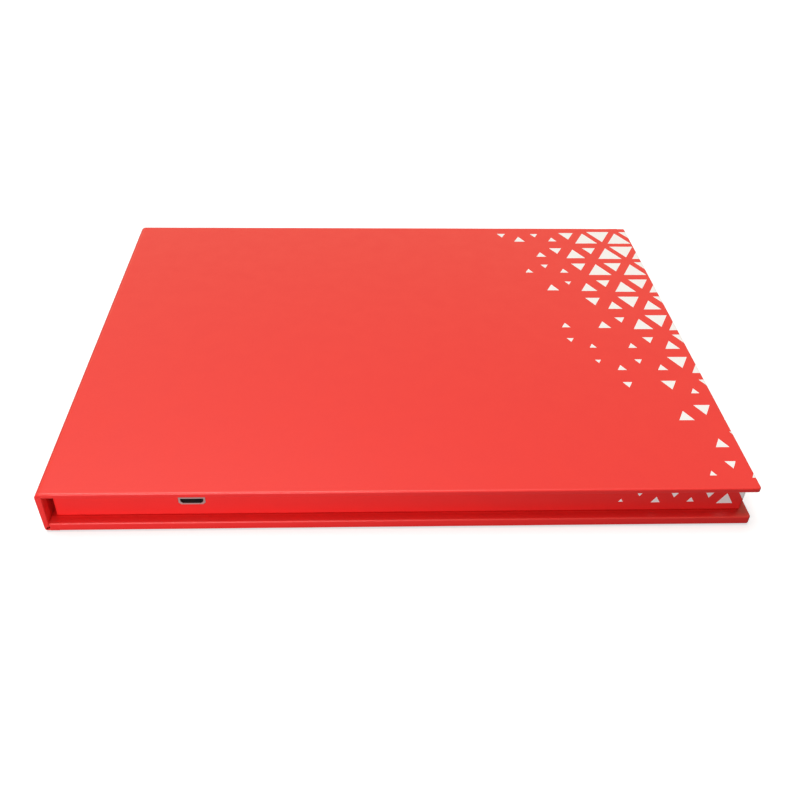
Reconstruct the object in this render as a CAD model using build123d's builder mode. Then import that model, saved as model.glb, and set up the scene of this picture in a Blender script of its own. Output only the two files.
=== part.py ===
"""LCD video brochure: a hardcover case on a paper-hinged spine, round a thin video block.

Millimetres. +X runs from the spine to the opening edge, +Y from front to back and +Z up
through the closed brochure, which lies on its back cover. The origin is at the centre of
the case's footprint, on the surface that it lies on.
"""

import os

from build123d import *

os.makedirs("parts", exist_ok=True)

# ---------------------------------------------------------------- driving sizes: the case
paper = 0.15  # wrap, turned-in edge and liner paper
front_board_thickness = 1.5
back_board_thickness = 2.8
spine_board_thickness = 1.3
end_overhang = 3.5  # covers past the block at front and back
opening_overhang = 2.0  # covers past the block on the opening side
spine_gap = 1.4  # open slot between spine and block
closed_gap = 0.2  # closed front cover above the block's face
lower_corner_bend = 0.45  # bare paper bend at the lower outer hinge corner
upper_corner_bend = 1.2  # bare paper bend at the upper outer hinge corner
hinge_gap = 0.2  # spine to the board of each cover
spine_lift = 1.6  # foot of the spine board above the surface
spine_edge_round = 0.8  # outer top edge of the spine board, crushed by the bend
cover_turn_in = 3.0  # wrap paper showing round a liner
board_corner_round = 0.85
board_edge_round = 0.35

# ---------------------------------------------------------------- driving sizes: the screen
picture_width = 154.0
picture_depth = 86.0
window_margin = 0.5  # card opening past the picture on each side
film_margin = 3.0  # window film past the card opening on each side
tape_width_at_sides = 2.0  # screen module past the window film
tape_width_at_ends = 3.5
tray_sheet = 0.3
light_guide_thickness = 1.6
panel_thickness = 1.15
bezel_sheet = 0.25
window_film = 0.2
flex_width = 25.0
flex_thickness = 0.15
flex_bend = 0.8
flex_ledge = 1.0  # ribbon between the panel and the light guide
flex_notch = 0.45  # free height for the ribbon below the panel

# ---------------------------------------------------------------- driving sizes: the block
side_margin = 22.5  # screen to the block's left and right faces
back_margin = 9.0  # screen to the block's back face
screen_gap = 7.3  # circuit board to screen
front_wall = 1.7  # foam and paper in front of the circuit board
base_card_thickness = 0.5
face_card_thickness = 0.5
block_turn_in = 10.0
foam_corner_round = 0.65
pocket_clearance = 0.3

# ---------------------------------------------------------------- driving sizes: electronics
board_width = 124.0
board_depth = 30.0
board_thickness = 1.0
board_shift = -13.8  # circuit board's centre from the block's centre
connector_margin = 1.5  # ribbon connector past the ribbon on each side
connector_depth = 4.5
connector_height = 1.5
connector_from_board_edge = 1.0
connector_slot = 3.0  # ribbon inside its connector
processor_width = 10.0
processor_height = 0.9
memory_width = 12.0
memory_depth = 9.0
memory_height = 1.0
crystal_width = 11.0
crystal_depth = 4.5
crystal_height = 3.2
crystal_round = 2.0
amplifier_width = 5.0
amplifier_depth = 4.0
amplifier_height = 1.5
inductor_width = 5.0
inductor_height = 2.4
inductor_round = 1.0
inductor_shift = -2.0  # from the middle of the strip behind the buttons
capacitor_count = 6
capacitor_pitch = 3.2
capacitor_width = 1.6
capacitor_depth = 0.8
capacitor_shift = 9.0  # column of capacitors from the socket's centre
sensor_width = 3.0
sensor_depth = 1.6
sensor_height = 1.1
usb_from_board_end = 12.0
usb_mouth_width = 6.9
usb_mouth_height = 1.85
usb_chamfer = 0.75
usb_sheet = 0.3
usb_depth = 5.0
usb_lip = 0.25
tongue_width = 5.2
tongue_thickness = 0.6
tongue_depth = 3.6
tongue_headroom = 0.35
contact_count = 5
contact_pitch = 0.65
contact_width = 0.3
contact_thickness = 0.1
battery_width = 70.0
battery_depth = 60.0
battery_thickness = 5.0
battery_headroom = 0.8  # lets the cell swell below the screen
battery_shift = -35.0  # cell's centre from the block's centre
battery_behind_screen_front = 12.0
battery_edge_round = 1.5
guard_board_width = 40.0
guard_board_depth = 3.5
guard_board_thickness = 1.0
guard_board_shift = 1.0  # from the cell's left edge
lead_diameter = 1.0
lead_pitch = 1.3
lead_bend = 1.5
lead_channel = 6.0
solder_pad_reach = 2.0  # speaker leads over the circuit board's edge
plug_width = 4.0
plug_depth = 5.0
plug_height = 2.2
socket_wall = 0.5
plug_clearance = 0.1
speaker_width = 32.0
speaker_depth = 20.0
speaker_frame_height = 3.0
speaker_rim = 1.5
speaker_floor = 0.8
speaker_gap = 8.0  # circuit board to speaker
magnet_diameter = 14.0
magnet_height = 2.0
cone_thickness = 0.3
cone_rise = 0.6  # cone above the frame's floor
coil_inset = 3.0  # voice coil's outside to the magnet's edge
cap_inset = 4.0  # dust cap's edge to the magnet's edge
frame_opening_inset = 2.0
dust_mesh_thickness = 0.2
sound_hole_diameter = 1.6
sound_hole_pitch = 3.0
sound_hole_columns = 7
sound_hole_rows = 5
lid_magnet_diameter = 8.0
lid_magnet_height = 1.0

# ---------------------------------------------------------------- driving sizes: controls
button_names = ("previous", "volume_down", "play", "volume_up", "next")
button_pitch = 18.0
button_row_from_board_front = 15.3
cap_diameter = 9.0
cap_clearance = 0.3  # cap to the hole in the face card
flange_diameter = 11.6
flange_thickness = 0.6
flange_gap = 0.15  # flange below the face card at rest
cap_edge_round = 0.2
switch_width = 6.0
switch_body_height = 3.5
switch_height = 5.0  # body and plunger
plunger_diameter = 3.5
plunger_clearance = 0.05
plunger_depth = 0.9  # plunger inside the switch body
plunger_well = 0.4  # free depth below the plunger

# ---------------------------------------------------------------- heights, from below
back_thickness = back_board_thickness + 2 * paper
front_thickness = front_board_thickness + 2 * paper
spine_thickness = spine_board_thickness + 2 * paper
block_floor = back_thickness
base_card_floor = block_floor + paper
foam_floor = base_card_floor + base_card_thickness
cell_floor = foam_floor + paper
screen_floor = cell_floor + battery_thickness + battery_headroom
light_guide_floor = screen_floor + tray_sheet
panel_floor = light_guide_floor + light_guide_thickness
bezel_floor = panel_floor + panel_thickness
film_floor = bezel_floor + bezel_sheet
face_card_floor = film_floor + window_film
block_top = face_card_floor + face_card_thickness
block_height = block_top - block_floor
front_cover_floor = block_top + closed_gap
case_height = front_cover_floor + front_thickness
cap_top = block_top
flange_top = face_card_floor - flange_gap
flange_floor = flange_top - flange_thickness
board_top = flange_floor - switch_height
board_floor = board_top - board_thickness
switch_top = board_top + switch_body_height
speaker_top = face_card_floor - dust_mesh_thickness
speaker_frame_floor = speaker_top - speaker_frame_height
magnet_floor = speaker_frame_floor - magnet_height

# ---------------------------------------------------------------- screen, from its picture out
window_width = picture_width + 2 * window_margin
window_depth = picture_depth + 2 * window_margin
film_width = window_width + 2 * film_margin
film_depth = window_depth + 2 * film_margin
screen_width = film_width + 2 * tape_width_at_sides
screen_depth = film_depth + 2 * tape_width_at_ends

# ---------------------------------------------------------------- plan, left to right
block_width = screen_width + 2 * side_margin
case_width = spine_thickness + spine_gap + block_width + opening_overhang
left = -case_width / 2
right = case_width / 2
block_left = left + spine_thickness + spine_gap
block_right = block_left + block_width
block_x = (block_left + block_right) / 2
spine_inner = left + spine_thickness
cover_left = spine_inner + hinge_gap
screen_left = block_x - screen_width / 2
screen_right = block_x + screen_width / 2
board_left = block_x + board_shift - board_width / 2
board_right = board_left + board_width
usb_x = board_left + usb_from_board_end
battery_x = block_x + battery_shift
battery_left = battery_x - battery_width / 2
plug_x = battery_left + lead_pitch + plug_width
speaker_left = board_right + speaker_gap
speaker_x = speaker_left + speaker_width / 2

# ---------------------------------------------------------------- plan, front to back
block_depth = front_wall + board_depth + screen_gap + screen_depth + back_margin
case_depth = block_depth + 2 * end_overhang
case_front = -case_depth / 2
case_back = case_depth / 2
block_front = -block_depth / 2
board_front = block_front + front_wall
board_back = board_front + board_depth
screen_front = board_back + screen_gap
screen_back = screen_front + screen_depth
screen_y = (screen_front + screen_back) / 2
battery_front = screen_front + battery_behind_screen_front
battery_back = battery_front + battery_depth
guard_board_front = battery_front - guard_board_depth
button_y = board_front + button_row_from_board_front
speaker_y = button_y
speaker_front = speaker_y - speaker_depth / 2

# ---------------------------------------------------------------- shared shapes


def block_between(low, high, mode=Mode.ADD):
    """Plain block between two opposite corners."""
    low_corner = Vector(*low)
    high_corner = Vector(*high)
    size = high_corner - low_corner
    with Locations((low_corner + high_corner) * 0.5):
        Box(size.X, size.Y, size.Z, mode=mode)


def block_outline(inset, mode=Mode.ADD):
    """Plan of the video block, drawn in by inset on every side."""
    corner = max(foam_corner_round + paper - inset, foam_corner_round / 2)
    with Locations((block_x, 0)):
        RectangleRounded(block_width - 2 * inset, block_depth - 2 * inset, corner, mode=mode)


def cover_slab(x_left, z_low, z_high, inset):
    """Slab of a cover with rounded free edges, drawn in by inset on its three free sides."""
    with BuildPart() as slab:
        block_between(
            (x_left, case_front + inset, z_low),
            (right - inset, case_back - inset, z_high),
        )
        free_corners = slab.edges().filter_by(Axis.Z).group_by(Axis.X)[-1]
        fillet(free_corners, board_corner_round + paper - inset)
        broad_faces = slab.faces().filter_by(Axis.Z)
        rims = broad_faces[0].edges() + broad_faces[1].edges()
        free_rims = [edge for edge in rims if edge.center().X > x_left + paper]
        fillet(free_rims, board_edge_round + paper - inset)
    return slab.part


def usb_profile(growth, mode=Mode.ADD):
    """Micro-USB mouth: flat on top, with its two lower corners cut, grown on every side."""
    half_width = usb_mouth_width / 2 + growth
    half_height = usb_mouth_height / 2 + growth
    with BuildLine() as outline:
        Polyline(
            (-half_width, half_height),
            (half_width, half_height),
            (half_width, usb_chamfer - half_height),
            (half_width - usb_chamfer, -half_height),
            (usb_chamfer - half_width, -half_height),
            (-half_width, usb_chamfer - half_height),
            close=True,
        )
    make_face(outline.edges(), mode=mode)


# ---------------------------------------------------------------- back cover

back_board_slab = cover_slab(cover_left, paper, back_thickness - paper, paper)
back_wrap_slab = cover_slab(cover_left, 0, back_thickness, 0)

with BuildPart() as back_cover_board:
    add(back_board_slab)
back_cover_board.part.label = "back_cover_board"
export_step(back_cover_board.part, "parts/back_cover_board.step")

with BuildPart() as back_cover_wrap:
    add(back_wrap_slab)
    block_between((left + lower_corner_bend, case_front, 0), (cover_left, case_back, paper))
    add(back_cover_board.part, mode=Mode.SUBTRACT)
    block_between(
        (cover_left, case_front + cover_turn_in, back_thickness - paper),
        (right - cover_turn_in, case_back - cover_turn_in, back_thickness),
        mode=Mode.SUBTRACT,
    )
back_cover_wrap.part.label = "back_cover_wrap"
export_step(back_cover_wrap.part, "parts/back_cover_wrap.step")

with BuildPart() as back_cover_liner:
    block_between(
        (cover_left, case_front + cover_turn_in, back_thickness - paper),
        (right - cover_turn_in, case_back - cover_turn_in, back_thickness),
    )
back_cover_liner.part.label = "back_cover_liner"
export_step(back_cover_liner.part, "parts/back_cover_liner.step")

# ---------------------------------------------------------------- spine

spine_top = case_height - upper_corner_bend

with BuildPart() as spine_board:
    block_between(
        (left + paper, case_front + paper, spine_lift),
        (spine_inner - paper, case_back - paper, spine_top),
    )
    top_edges = spine_board.edges().filter_by(Axis.Y).group_by(Axis.Z)[-1]
    fillet(top_edges.sort_by(Axis.X)[0], spine_edge_round)
spine_board.part.label = "spine_board"
export_step(spine_board.part, "parts/spine_board.step")

with BuildPart() as spine_wrap:
    block_between((left, case_front, spine_lift), (spine_inner, case_back, spine_top))
    block_between(
        (left, case_front, lower_corner_bend),
        (left + paper, case_back, spine_top),
    )
    add(spine_board.part, mode=Mode.SUBTRACT)
    block_between(
        (spine_inner - paper, case_front + cover_turn_in, spine_lift),
        (spine_inner, case_back - cover_turn_in, spine_top),
        mode=Mode.SUBTRACT,
    )
spine_wrap.part.label = "spine_wrap"
export_step(spine_wrap.part, "parts/spine_wrap.step")

with BuildPart() as spine_liner:
    block_between(
        (spine_inner - paper, case_front + cover_turn_in, spine_lift),
        (spine_inner, case_back - cover_turn_in, spine_top),
    )
spine_liner.part.label = "spine_liner"
export_step(spine_liner.part, "parts/spine_liner.step")

# ---------------------------------------------------------------- front cover

front_board_slab = cover_slab(cover_left, front_cover_floor + paper, case_height - paper, paper)
front_wrap_slab = cover_slab(cover_left, front_cover_floor, case_height, 0)
sensor_x = board_right - lid_magnet_diameter
sensor_y = board_back - lid_magnet_diameter / 2

with BuildPart() as lid_magnet:
    with BuildSketch(Plane.XY.offset(front_cover_floor + paper)):
        with Locations((sensor_x, sensor_y)):
            Circle(lid_magnet_diameter / 2)
    extrude(amount=lid_magnet_height)
lid_magnet.part.label = "lid_magnet"
export_step(lid_magnet.part, "parts/lid_magnet.step")

with BuildPart() as front_cover_board:
    add(front_board_slab)
    add(lid_magnet.part, mode=Mode.SUBTRACT)
front_cover_board.part.label = "front_cover_board"
export_step(front_cover_board.part, "parts/front_cover_board.step")

with BuildPart() as front_cover_wrap:
    add(front_wrap_slab)
    block_between(
        (left + upper_corner_bend, case_front, case_height - paper),
        (cover_left, case_back, case_height),
    )
    add(front_board_slab, mode=Mode.SUBTRACT)
    block_between(
        (cover_left, case_front + cover_turn_in, front_cover_floor),
        (right - cover_turn_in, case_back - cover_turn_in, front_cover_floor + paper),
        mode=Mode.SUBTRACT,
    )
front_cover_wrap.part.label = "front_cover_wrap"
export_step(front_cover_wrap.part, "parts/front_cover_wrap.step")

with BuildPart() as front_cover_liner:
    block_between(
        (cover_left, case_front + cover_turn_in, front_cover_floor),
        (right - cover_turn_in, case_back - cover_turn_in, front_cover_floor + paper),
    )
front_cover_liner.part.label = "front_cover_liner"
export_step(front_cover_liner.part, "parts/front_cover_liner.step")

# ---------------------------------------------------------------- video block: paper and card

usb_z = board_top + usb_sheet + usb_mouth_height / 2
usb_plane = Plane(origin=(usb_x, block_front, usb_z), x_dir=(1, 0, 0), z_dir=(0, -1, 0))
button_places = [
    (block_x + button_pitch * (index - (len(button_names) - 1) / 2), button_y)
    for index in range(len(button_names))
]

with BuildPart() as block_adhesive:
    with BuildSketch(Plane.XY.offset(block_floor)):
        block_outline(block_turn_in)
    extrude(amount=paper)
block_adhesive.part.label = "block_adhesive"
export_step(block_adhesive.part, "parts/block_adhesive.step")

with BuildPart() as block_wrap:
    with BuildSketch(Plane.XY.offset(block_floor)):
        block_outline(0)
        block_outline(paper, mode=Mode.SUBTRACT)
    extrude(amount=block_height)
    with BuildSketch(Plane.XY.offset(block_floor)):
        block_outline(0)
        block_outline(block_turn_in, mode=Mode.SUBTRACT)
    extrude(amount=paper)
    with BuildSketch(usb_plane):
        usb_profile(usb_sheet + pocket_clearance)
    extrude(amount=-front_wall, mode=Mode.SUBTRACT)
block_wrap.part.label = "block_wrap"
export_step(block_wrap.part, "parts/block_wrap.step")

with BuildPart() as block_base_card:
    with BuildSketch(Plane.XY.offset(base_card_floor)):
        block_outline(paper)
    extrude(amount=base_card_thickness)
block_base_card.part.label = "block_base_card"
export_step(block_base_card.part, "parts/block_base_card.step")

with BuildPart() as block_face_card:
    with BuildSketch(Plane.XY.offset(face_card_floor)):
        block_outline(paper)
        with Locations((block_x, screen_y)):
            Rectangle(window_width, window_depth, mode=Mode.SUBTRACT)
        with Locations(*button_places):
            Circle(cap_diameter / 2 + cap_clearance, mode=Mode.SUBTRACT)
        with Locations((speaker_x, speaker_y)):
            with HexLocations(
                sound_hole_pitch / 2, sound_hole_columns, sound_hole_rows, major_radius=False
            ):
                Circle(sound_hole_diameter / 2, mode=Mode.SUBTRACT)
    extrude(amount=face_card_thickness)
block_face_card.part.label = "block_face_card"
export_step(block_face_card.part, "parts/block_face_card.step")

# ---------------------------------------------------------------- video block: foam frame

with BuildPart() as block_frame:
    with BuildSketch(Plane.XY.offset(foam_floor)):
        block_outline(paper)
    extrude(amount=face_card_floor - foam_floor)
    # Screen pocket, open to the face card
    block_between(
        (screen_left - pocket_clearance, screen_front - pocket_clearance, screen_floor),
        (screen_right + pocket_clearance, screen_back + pocket_clearance, face_card_floor),
        mode=Mode.SUBTRACT,
    )
    # Battery pocket below the screen, with room for the guard board
    block_between(
        (battery_left - pocket_clearance, guard_board_front - pocket_clearance, foam_floor),
        (
            battery_left + battery_width + pocket_clearance,
            battery_back + pocket_clearance,
            screen_floor,
        ),
        mode=Mode.SUBTRACT,
    )
    # Circuit board pocket, and the gap behind it for ribbon, plug and leads
    block_between(
        (board_left - pocket_clearance, board_front - pocket_clearance, board_floor),
        (board_right + pocket_clearance, screen_front, face_card_floor),
        mode=Mode.SUBTRACT,
    )
    # Channel for the battery leads
    block_between(
        (plug_x - plug_width, board_back, cell_floor),
        (plug_x + plug_width, guard_board_front, screen_floor),
        mode=Mode.SUBTRACT,
    )
    # Speaker pocket, and the channel for its leads
    block_between(
        (
            speaker_left - pocket_clearance,
            speaker_front - pocket_clearance,
            magnet_floor - pocket_clearance,
        ),
        (
            speaker_left + speaker_width + pocket_clearance,
            speaker_front + speaker_depth + pocket_clearance,
            face_card_floor,
        ),
        mode=Mode.SUBTRACT,
    )
    block_between(
        (board_right, speaker_y - lead_channel / 2, board_top),
        (speaker_left, speaker_y + lead_channel / 2, face_card_floor),
        mode=Mode.SUBTRACT,
    )
    with BuildSketch(usb_plane):
        usb_profile(usb_sheet + pocket_clearance)
    extrude(amount=-front_wall, mode=Mode.SUBTRACT)
block_frame.part.label = "block_frame"
export_step(block_frame.part, "parts/block_frame.step")

# ---------------------------------------------------------------- screen, from the back up

screen_low = (screen_left, screen_front)
screen_high = (screen_right, screen_back)
inner_left = screen_left + tray_sheet
inner_right = screen_right - tray_sheet
inner_front = screen_front + tray_sheet
inner_back = screen_back - tray_sheet
flex_slot = flex_width + 2 * pocket_clearance
flex_notch_floor = panel_floor - flex_notch

with BuildPart() as lcd_rear_tray:
    block_between((*screen_low, screen_floor), (*screen_high, bezel_floor))
    block_between(
        (inner_left, inner_front, light_guide_floor),
        (inner_right, inner_back, bezel_floor),
        mode=Mode.SUBTRACT,
    )
    # Notch in the front wall for the ribbon
    block_between(
        (block_x - flex_slot / 2, screen_front, flex_notch_floor),
        (block_x + flex_slot / 2, inner_front, bezel_floor),
        mode=Mode.SUBTRACT,
    )
lcd_rear_tray.part.label = "lcd_rear_tray"
export_step(lcd_rear_tray.part, "parts/lcd_rear_tray.step")

with BuildPart() as lcd_light_guide:
    block_between(
        (inner_left, inner_front, light_guide_floor),
        (inner_right, inner_back, panel_floor),
    )
    # Ledge that the ribbon leaves over
    block_between(
        (block_x - flex_slot / 2, inner_front, flex_notch_floor),
        (block_x + flex_slot / 2, inner_front + flex_ledge, panel_floor),
        mode=Mode.SUBTRACT,
    )
lcd_light_guide.part.label = "lcd_light_guide"
export_step(lcd_light_guide.part, "parts/lcd_light_guide.step")

with BuildPart() as lcd_panel:
    block_between(
        (inner_left, inner_front, panel_floor),
        (inner_right, inner_back, bezel_floor),
    )
lcd_panel.part.label = "lcd_panel"
export_step(lcd_panel.part, "parts/lcd_panel.step")

with BuildPart() as lcd_bezel:
    with BuildSketch(Plane.XY.offset(bezel_floor)):
        with Locations((block_x, screen_y)):
            Rectangle(screen_width, screen_depth)
            Rectangle(window_width, window_depth, mode=Mode.SUBTRACT)
    extrude(amount=bezel_sheet)
lcd_bezel.part.label = "lcd_bezel"
export_step(lcd_bezel.part, "parts/lcd_bezel.step")

with BuildPart() as screen_window:
    with BuildSketch(Plane.XY.offset(film_floor)):
        with Locations((block_x, screen_y)):
            Rectangle(film_width, film_depth)
    extrude(amount=window_film)
screen_window.part.label = "screen_window"
export_step(screen_window.part, "parts/screen_window.step")

with BuildPart() as screen_tape:
    with BuildSketch(Plane.XY.offset(film_floor)):
        with Locations((block_x, screen_y)):
            Rectangle(screen_width, screen_depth)
            Rectangle(film_width, film_depth, mode=Mode.SUBTRACT)
    extrude(amount=window_film)
screen_tape.part.label = "screen_tape"
export_step(screen_tape.part, "parts/screen_tape.step")

# ---------------------------------------------------------------- circuit board and its parts

connector_width = flex_width + 2 * connector_margin
connector_back = board_back - connector_from_board_edge
connector_front = connector_back - connector_depth
flex_z = board_top + connector_height / 2
flex_leave_z = panel_floor - flex_thickness / 2

with BuildPart() as circuit_board:
    block_between((board_left, board_front, board_floor), (board_right, board_back, board_top))
circuit_board.part.label = "circuit_board"
export_step(circuit_board.part, "parts/circuit_board.step")


def chip_on_board(x_middle, y_middle, width, depth, height, mode=Mode.ADD):
    """Component body standing on the circuit board."""
    block_between(
        (x_middle - width / 2, y_middle - depth / 2, board_top),
        (x_middle + width / 2, y_middle + depth / 2, board_top + height),
        mode=mode,
    )


front_strip_y = (board_front + button_y - switch_width / 2) / 2
back_strip_y = (board_back + button_y + switch_width / 2) / 2

with BuildPart() as media_processor:
    chip_on_board(
        block_x - 1.5 * button_pitch,
        front_strip_y,
        processor_width,
        processor_width,
        processor_height,
    )
media_processor.part.label = "media_processor"
export_step(media_processor.part, "parts/media_processor.step")

with BuildPart() as flash_memory:
    chip_on_board(
        block_x - 0.5 * button_pitch, front_strip_y, memory_width, memory_depth, memory_height
    )
flash_memory.part.label = "flash_memory"
export_step(flash_memory.part, "parts/flash_memory.step")

with BuildPart() as clock_crystal:
    chip_on_board(
        block_x + 0.5 * button_pitch, front_strip_y, crystal_width, crystal_depth, crystal_height
    )
    fillet(clock_crystal.edges().filter_by(Axis.Z), crystal_round)
clock_crystal.part.label = "clock_crystal"
export_step(clock_crystal.part, "parts/clock_crystal.step")

with BuildPart() as audio_amplifier:
    chip_on_board(
        block_x + 1.5 * button_pitch,
        front_strip_y,
        amplifier_width,
        amplifier_depth,
        amplifier_height,
    )
audio_amplifier.part.label = "audio_amplifier"
export_step(audio_amplifier.part, "parts/audio_amplifier.step")

with BuildPart() as power_inductor:
    chip_on_board(
        usb_x, back_strip_y + inductor_shift, inductor_width, inductor_width, inductor_height
    )
    fillet(power_inductor.edges().filter_by(Axis.Z), inductor_round)
power_inductor.part.label = "power_inductor"
export_step(power_inductor.part, "parts/power_inductor.step")

with BuildPart() as board_capacitors:
    for index in range(capacitor_count):
        chip_on_board(
            usb_x + capacitor_shift,
            button_y + capacitor_pitch * (index - capacitor_count / 2),
            capacitor_width,
            capacitor_depth,
            capacitor_depth,
        )
board_capacitors.part.label = "board_capacitors"
export_step(board_capacitors.part, "parts/board_capacitors.step")

with BuildPart() as lid_sensor:
    chip_on_board(sensor_x, sensor_y, sensor_width, sensor_depth, sensor_height)
lid_sensor.part.label = "lid_sensor"
export_step(lid_sensor.part, "parts/lid_sensor.step")

with BuildPart() as flex_connector:
    block_between(
        (block_x - connector_width / 2, connector_front, board_top),
        (block_x + connector_width / 2, connector_back, board_top + connector_height),
    )
    # Slot that the ribbon's end lies in
    block_between(
        (block_x - flex_width / 2, connector_back - connector_slot, flex_z - flex_thickness / 2),
        (block_x + flex_width / 2, connector_back, flex_z + flex_thickness / 2),
        mode=Mode.SUBTRACT,
    )
flex_connector.part.label = "flex_connector"
export_step(flex_connector.part, "parts/flex_connector.step")

with BuildPart() as lcd_flex:
    with BuildSketch(Plane.YZ.offset(block_x - flex_width / 2)):
        with BuildLine() as ribbon_line:
            FilletPolyline(
                (inner_front + flex_ledge, flex_leave_z),
                (screen_front - screen_gap / 3, flex_leave_z),
                (screen_front - screen_gap * 2 / 3, flex_z),
                (connector_back - connector_slot, flex_z),
                radius=flex_bend,
            )
        trace(line_width=flex_thickness)
    extrude(amount=flex_width)
lcd_flex.part.label = "lcd_flex"
export_step(lcd_flex.part, "parts/lcd_flex.step")

# ---------------------------------------------------------------- micro-USB socket

with BuildPart() as usb_shell:
    with BuildSketch(usb_plane):
        usb_profile(usb_sheet)
    extrude(amount=-usb_depth)
    with BuildSketch(usb_plane):
        usb_profile(usb_sheet + usb_lip)
    extrude(amount=-usb_lip)
    with BuildSketch(usb_plane):
        usb_profile(0)
    extrude(amount=-(usb_depth - usb_sheet), mode=Mode.SUBTRACT)
usb_shell.part.label = "usb_shell"
export_step(usb_shell.part, "parts/usb_shell.step")

tongue_back = block_front + usb_depth - usb_sheet
tongue_top = usb_z + usb_mouth_height / 2 - tongue_headroom
with BuildPart() as usb_tongue:
    block_between(
        (usb_x - tongue_width / 2, tongue_back - tongue_depth, tongue_top - tongue_thickness),
        (usb_x + tongue_width / 2, tongue_back, tongue_top),
    )
usb_tongue.part.label = "usb_tongue"
export_step(usb_tongue.part, "parts/usb_tongue.step")

with BuildPart() as usb_contacts:
    for index in range(contact_count):
        contact_x = usb_x + contact_pitch * (index - (contact_count - 1) / 2)
        block_between(
            (
                contact_x - contact_width / 2,
                tongue_back - tongue_depth + contact_width,
                tongue_top - tongue_thickness - contact_thickness,
            ),
            (contact_x + contact_width / 2, tongue_back, tongue_top - tongue_thickness),
        )
usb_contacts.part.label = "usb_contacts"
export_step(usb_contacts.part, "parts/usb_contacts.step")

# ---------------------------------------------------------------- battery

guard_board_floor = cell_floor + battery_thickness / 2
lead_z = guard_board_floor + guard_board_thickness / 2
plug_floor = board_top + socket_wall + plug_clearance
plug_back = board_back + plug_depth / 2
plug_front = plug_back - plug_depth
plug_z = plug_floor + plug_height / 2
socket_front = plug_front - socket_wall - plug_clearance
socket_back = board_back - socket_wall

with BuildPart() as battery_tape:
    block_between(
        (battery_left, battery_front, foam_floor),
        (battery_left + battery_width, battery_back, cell_floor),
    )
battery_tape.part.label = "battery_tape"
export_step(battery_tape.part, "parts/battery_tape.step")

with BuildPart() as battery_cell:
    block_between(
        (battery_left, battery_front, cell_floor),
        (battery_left + battery_width, battery_back, cell_floor + battery_thickness),
    )
    fillet(battery_cell.edges().filter_by(Axis.Y), battery_edge_round)
battery_cell.part.label = "battery_cell"
export_step(battery_cell.part, "parts/battery_cell.step")

with BuildPart() as battery_guard_board:
    block_between(
        (battery_left + guard_board_shift, guard_board_front, guard_board_floor),
        (
            battery_left + guard_board_shift + guard_board_width,
            battery_front,
            guard_board_floor + guard_board_thickness,
        ),
    )
battery_guard_board.part.label = "battery_guard_board"
export_step(battery_guard_board.part, "parts/battery_guard_board.step")

with BuildPart() as battery_plug:
    block_between(
        (plug_x - plug_width / 2, plug_front, plug_floor),
        (plug_x + plug_width / 2, plug_back, plug_floor + plug_height),
    )
battery_plug.part.label = "battery_plug"
export_step(battery_plug.part, "parts/battery_plug.step")

socket_half_width = plug_width / 2 + plug_clearance + socket_wall
with BuildPart() as battery_socket:
    block_between(
        (plug_x - socket_half_width, socket_front, board_top),
        (
            plug_x + socket_half_width,
            socket_back,
            plug_floor + plug_height + plug_clearance + socket_wall,
        ),
    )
    block_between(
        (
            plug_x - plug_width / 2 - plug_clearance,
            plug_front - plug_clearance,
            plug_floor - plug_clearance,
        ),
        (
            plug_x + plug_width / 2 + plug_clearance,
            socket_back,
            plug_floor + plug_height + plug_clearance,
        ),
        mode=Mode.SUBTRACT,
    )
battery_socket.part.label = "battery_socket"
export_step(battery_socket.part, "parts/battery_socket.step")

lead_run = guard_board_front - plug_back
with BuildPart() as battery_leads:
    for side in (-1, 1):
        lead_x = plug_x + side * lead_pitch / 2
        with BuildLine() as lead_line:
            FilletPolyline(
                (lead_x, guard_board_front, lead_z),
                (lead_x, guard_board_front - lead_run / 3, lead_z),
                (lead_x, plug_back + lead_run / 4, plug_z),
                (lead_x, plug_back, plug_z),
                radius=lead_bend,
            )
        with BuildSketch(
            Plane(origin=(lead_x, guard_board_front, lead_z), z_dir=(0, -1, 0))
        ) as lead_end:
            Circle(lead_diameter / 2)
        sweep(sections=lead_end.sketch, path=lead_line.line)
battery_leads.part.label = "battery_leads"
export_step(battery_leads.part, "parts/battery_leads.step")

# ---------------------------------------------------------------- speaker

with BuildPart() as speaker_frame:
    with BuildSketch(Plane.XY.offset(speaker_frame_floor)):
        with Locations((speaker_x, speaker_y)):
            RectangleRounded(speaker_width, speaker_depth, 2 * speaker_rim)
    extrude(amount=speaker_frame_height)
    with BuildSketch(Plane.XY.offset(speaker_frame_floor + speaker_floor)):
        with Locations((speaker_x, speaker_y)):
            RectangleRounded(
                speaker_width - 2 * speaker_rim, speaker_depth - 2 * speaker_rim, speaker_rim
            )
    extrude(amount=speaker_frame_height, mode=Mode.SUBTRACT)
    with BuildSketch(Plane.XY.offset(speaker_frame_floor)):
        with Locations((speaker_x, speaker_y)):
            Circle(magnet_diameter / 2 - frame_opening_inset)
    extrude(amount=speaker_floor, mode=Mode.SUBTRACT)
speaker_frame.part.label = "speaker_frame"
export_step(speaker_frame.part, "parts/speaker_frame.step")

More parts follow.
